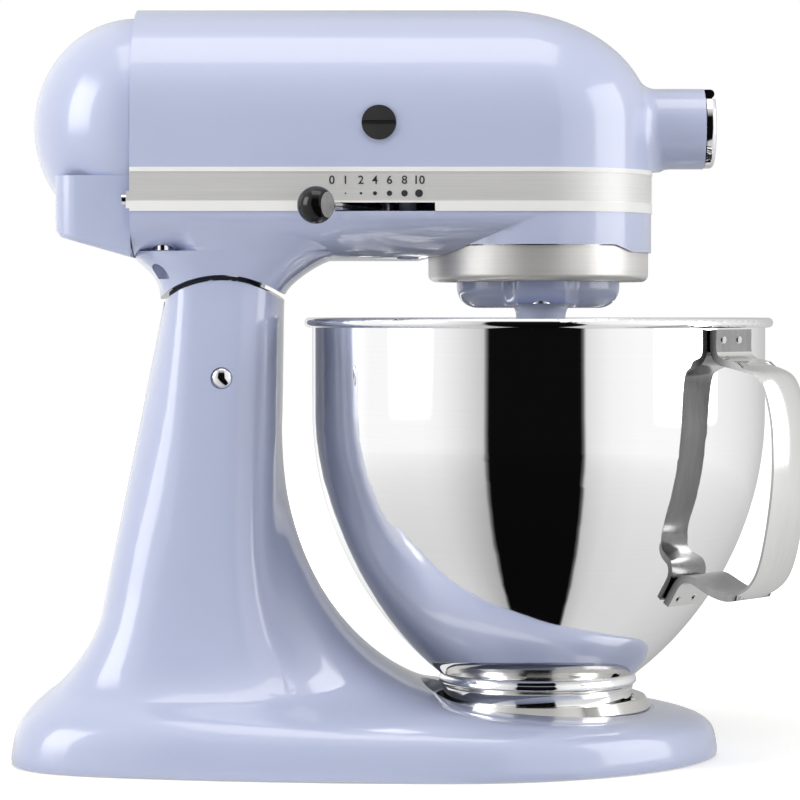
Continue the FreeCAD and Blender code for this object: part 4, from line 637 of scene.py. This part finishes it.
def flared(form):
    """Push the outer sides of the neck and the arm out to the flare."""
    for z in NECK_CUTS_Z:
        slice_at(form, (0, 0, z * MM), (0, 0, 1))
    for x in NECK_CUTS_X:
        slice_at(form, (x * MM, 0, 0), (1, 0, 0))
    for vert in form.verts:
        x, y, z = vert.co / MM
        if NECK_REAR < x < NECK_FRONT and NECK[0][0] <= z <= NECK[-1][0]:
            arm = ARM_FLAT + ARM_ROUND[0] * math.sqrt(1 - ((ARM_WIDE_Z - z) / ARM_ROUND[1]) ** 2)
            more = neck_side(x, z) - abs(y)
            if abs(y) > arm - ARM_SLACK and more > 0:
                vert.co.y += math.copysign(more * smooth(x, NECK_REAR, NECK_FULL), y) * MM
    bmesh.ops.dissolve_degenerate(form, dist=TINY, edges=form.edges)


skin("lower_housing", SOFT, shape=flared)

# The planetary: two lobes under the plate, set back beside the post of the beater
LOBE_LOW, LOBE_HIGH = 213.9 * MM, 227.1 * MM
POST_EDGE, LOBE_FRONT = 11.0 * MM, 18.0 * MM
LOBE_BACK = 0.34
LOBE_CUTS = range(9, 34, 2)


def lobes(form):
    """Draw the disc in towards its middle, but not before the post."""
    for side in (-1, 1):
        for step in LOBE_CUTS:
            slice_at(form, BOWL_AXIS + Vector((side * step * MM, 0, 0)), (1, 0, 0))
    for vert in form.verts:
        if LOBE_LOW <= vert.co.z <= LOBE_HIGH:
            away = abs(vert.co.x - BOWL_AXIS.x)
            share = 1.0 if vert.co.y > 0 else smooth(away, POST_EDGE, LOBE_FRONT)
            vert.co.y *= 1 - LOBE_BACK * share


skin("planetary_body", SOFT, shape=lobes)

# The handle: a strap whose outer face is crowned from edge to edge
HANDLE_TURN = math.radians(-39.5)
HANDLE_ACROSS = Vector((-math.sin(HANDLE_TURN), math.cos(HANDLE_TURN), 0))
HANDLE_OUT = Vector((math.cos(HANDLE_TURN), math.sin(HANDLE_TURN), 0))
HANDLE_HALF = 14.5 * MM
# The middle of the loop, out from the axis of the bowl and up, and how far the loop reaches in from it
HANDLE_MIDDLE = (123 * MM, 145 * MM)
HANDLE_REACH = 40 * MM
CROWN_CUTS = (0.5, 1.2, 2.2, 3.4, 4.8, 6.5, 9.0)
CROWN_DROP, CROWN_POWER = 2.2 * MM, 2.5
# A face of the strap's edge looks across by more than this, a face of its band by less than that
EDGE_LOOK, BAND_LOOK = 0.7, 0.5
HANDLE_ROUND = 0.3


def outward(point, normal):
    """Whether a face of the strap looks away from the middle of the loop."""
    out = (point - BOWL_AXIS).dot(HANDLE_OUT) - HANDLE_MIDDLE[0]
    return normal.dot(HANDLE_OUT) * out + normal.z * (point.z - HANDLE_MIDDLE[1]) > 0


def strap_in_shade(centre, normal):
    """The edges of the strap and the inside of its loop, which take the painted strap shade: darker steel that
    paints their dark reflections.
    """
    on_loop = (centre - BOWL_AXIS).dot(HANDLE_OUT) > HANDLE_MIDDLE[0] - HANDLE_REACH
    return abs(normal.dot(HANDLE_ACROSS)) > EDGE_LOOK or (on_loop and not outward(centre, normal))


def crowned(form):
    """Lower the outer face of the loop towards its edges."""
    for inset in CROWN_CUTS:
        for side in (-1, 1):
            slice_at(form, BOWL_AXIS + HANDLE_ACROSS * side * (HANDLE_HALF - inset * MM), HANDLE_ACROSS)
    form.normal_update()
    moves = []
    for vert in form.verts:
        from_axis = vert.co - BOWL_AXIS
        faces = [f.normal for f in vert.link_faces if abs(f.normal.dot(HANDLE_ACROSS)) < BAND_LOOK]
        if not faces or from_axis.dot(HANDLE_OUT) < HANDLE_MIDDLE[0]:
            continue
        normal = sum(faces, Vector()).normalized()
        if outward(vert.co, normal):
            edge = min(abs(from_axis.dot(HANDLE_ACROSS)) / HANDLE_HALF, 1.0)
            moves.append((vert, normal * -CROWN_DROP * edge ** CROWN_POWER))
    for vert, move in moves:
        vert.co += move


# The edges and the inside of the loop take painted dark reflections
skin("bowl_handle", SOFT, HANDLE_ROUND, extra=painted_strap_shade, wanted=strap_in_shade, shape=crowned)

# The brush caps: painted shade in the slot, and a painted highlight on the thin rounded edges
CAP_FACE = 0.4 * MM
CAP_ROUND = 0.3
CAP_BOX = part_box("brush_caps")


def in_slot(centre, normal):
    """Faces that lie behind the outer faces of both caps, which take the painted slot shade."""
    return CAP_BOX[0].y + CAP_FACE < centre.y < CAP_BOX[1].y - CAP_FACE


caps = skin("brush_caps", FINE, CAP_ROUND, extra=painted_slot_shade, wanted=in_slot)
# The rounded edges of the caps take the painted rim highlight
caps.data.materials.append(painted_cap_rim_highlight)
caps.modifiers["edges"].material = len(caps.data.materials) - 1

# The speed knob: a ball with one flat facet
FACET_TURN = math.radians(30)
FACET_FACING = Vector((math.cos(FACET_TURN), -math.sin(FACET_TURN), 0))
FACET_LOOK = 0.995


def on_facet(centre, normal):
    return normal.dot(FACET_FACING) > FACET_LOOK


skin("speed_knob", SOFT, extra=facet, wanted=on_facet)

bpy.context.view_layer.update()
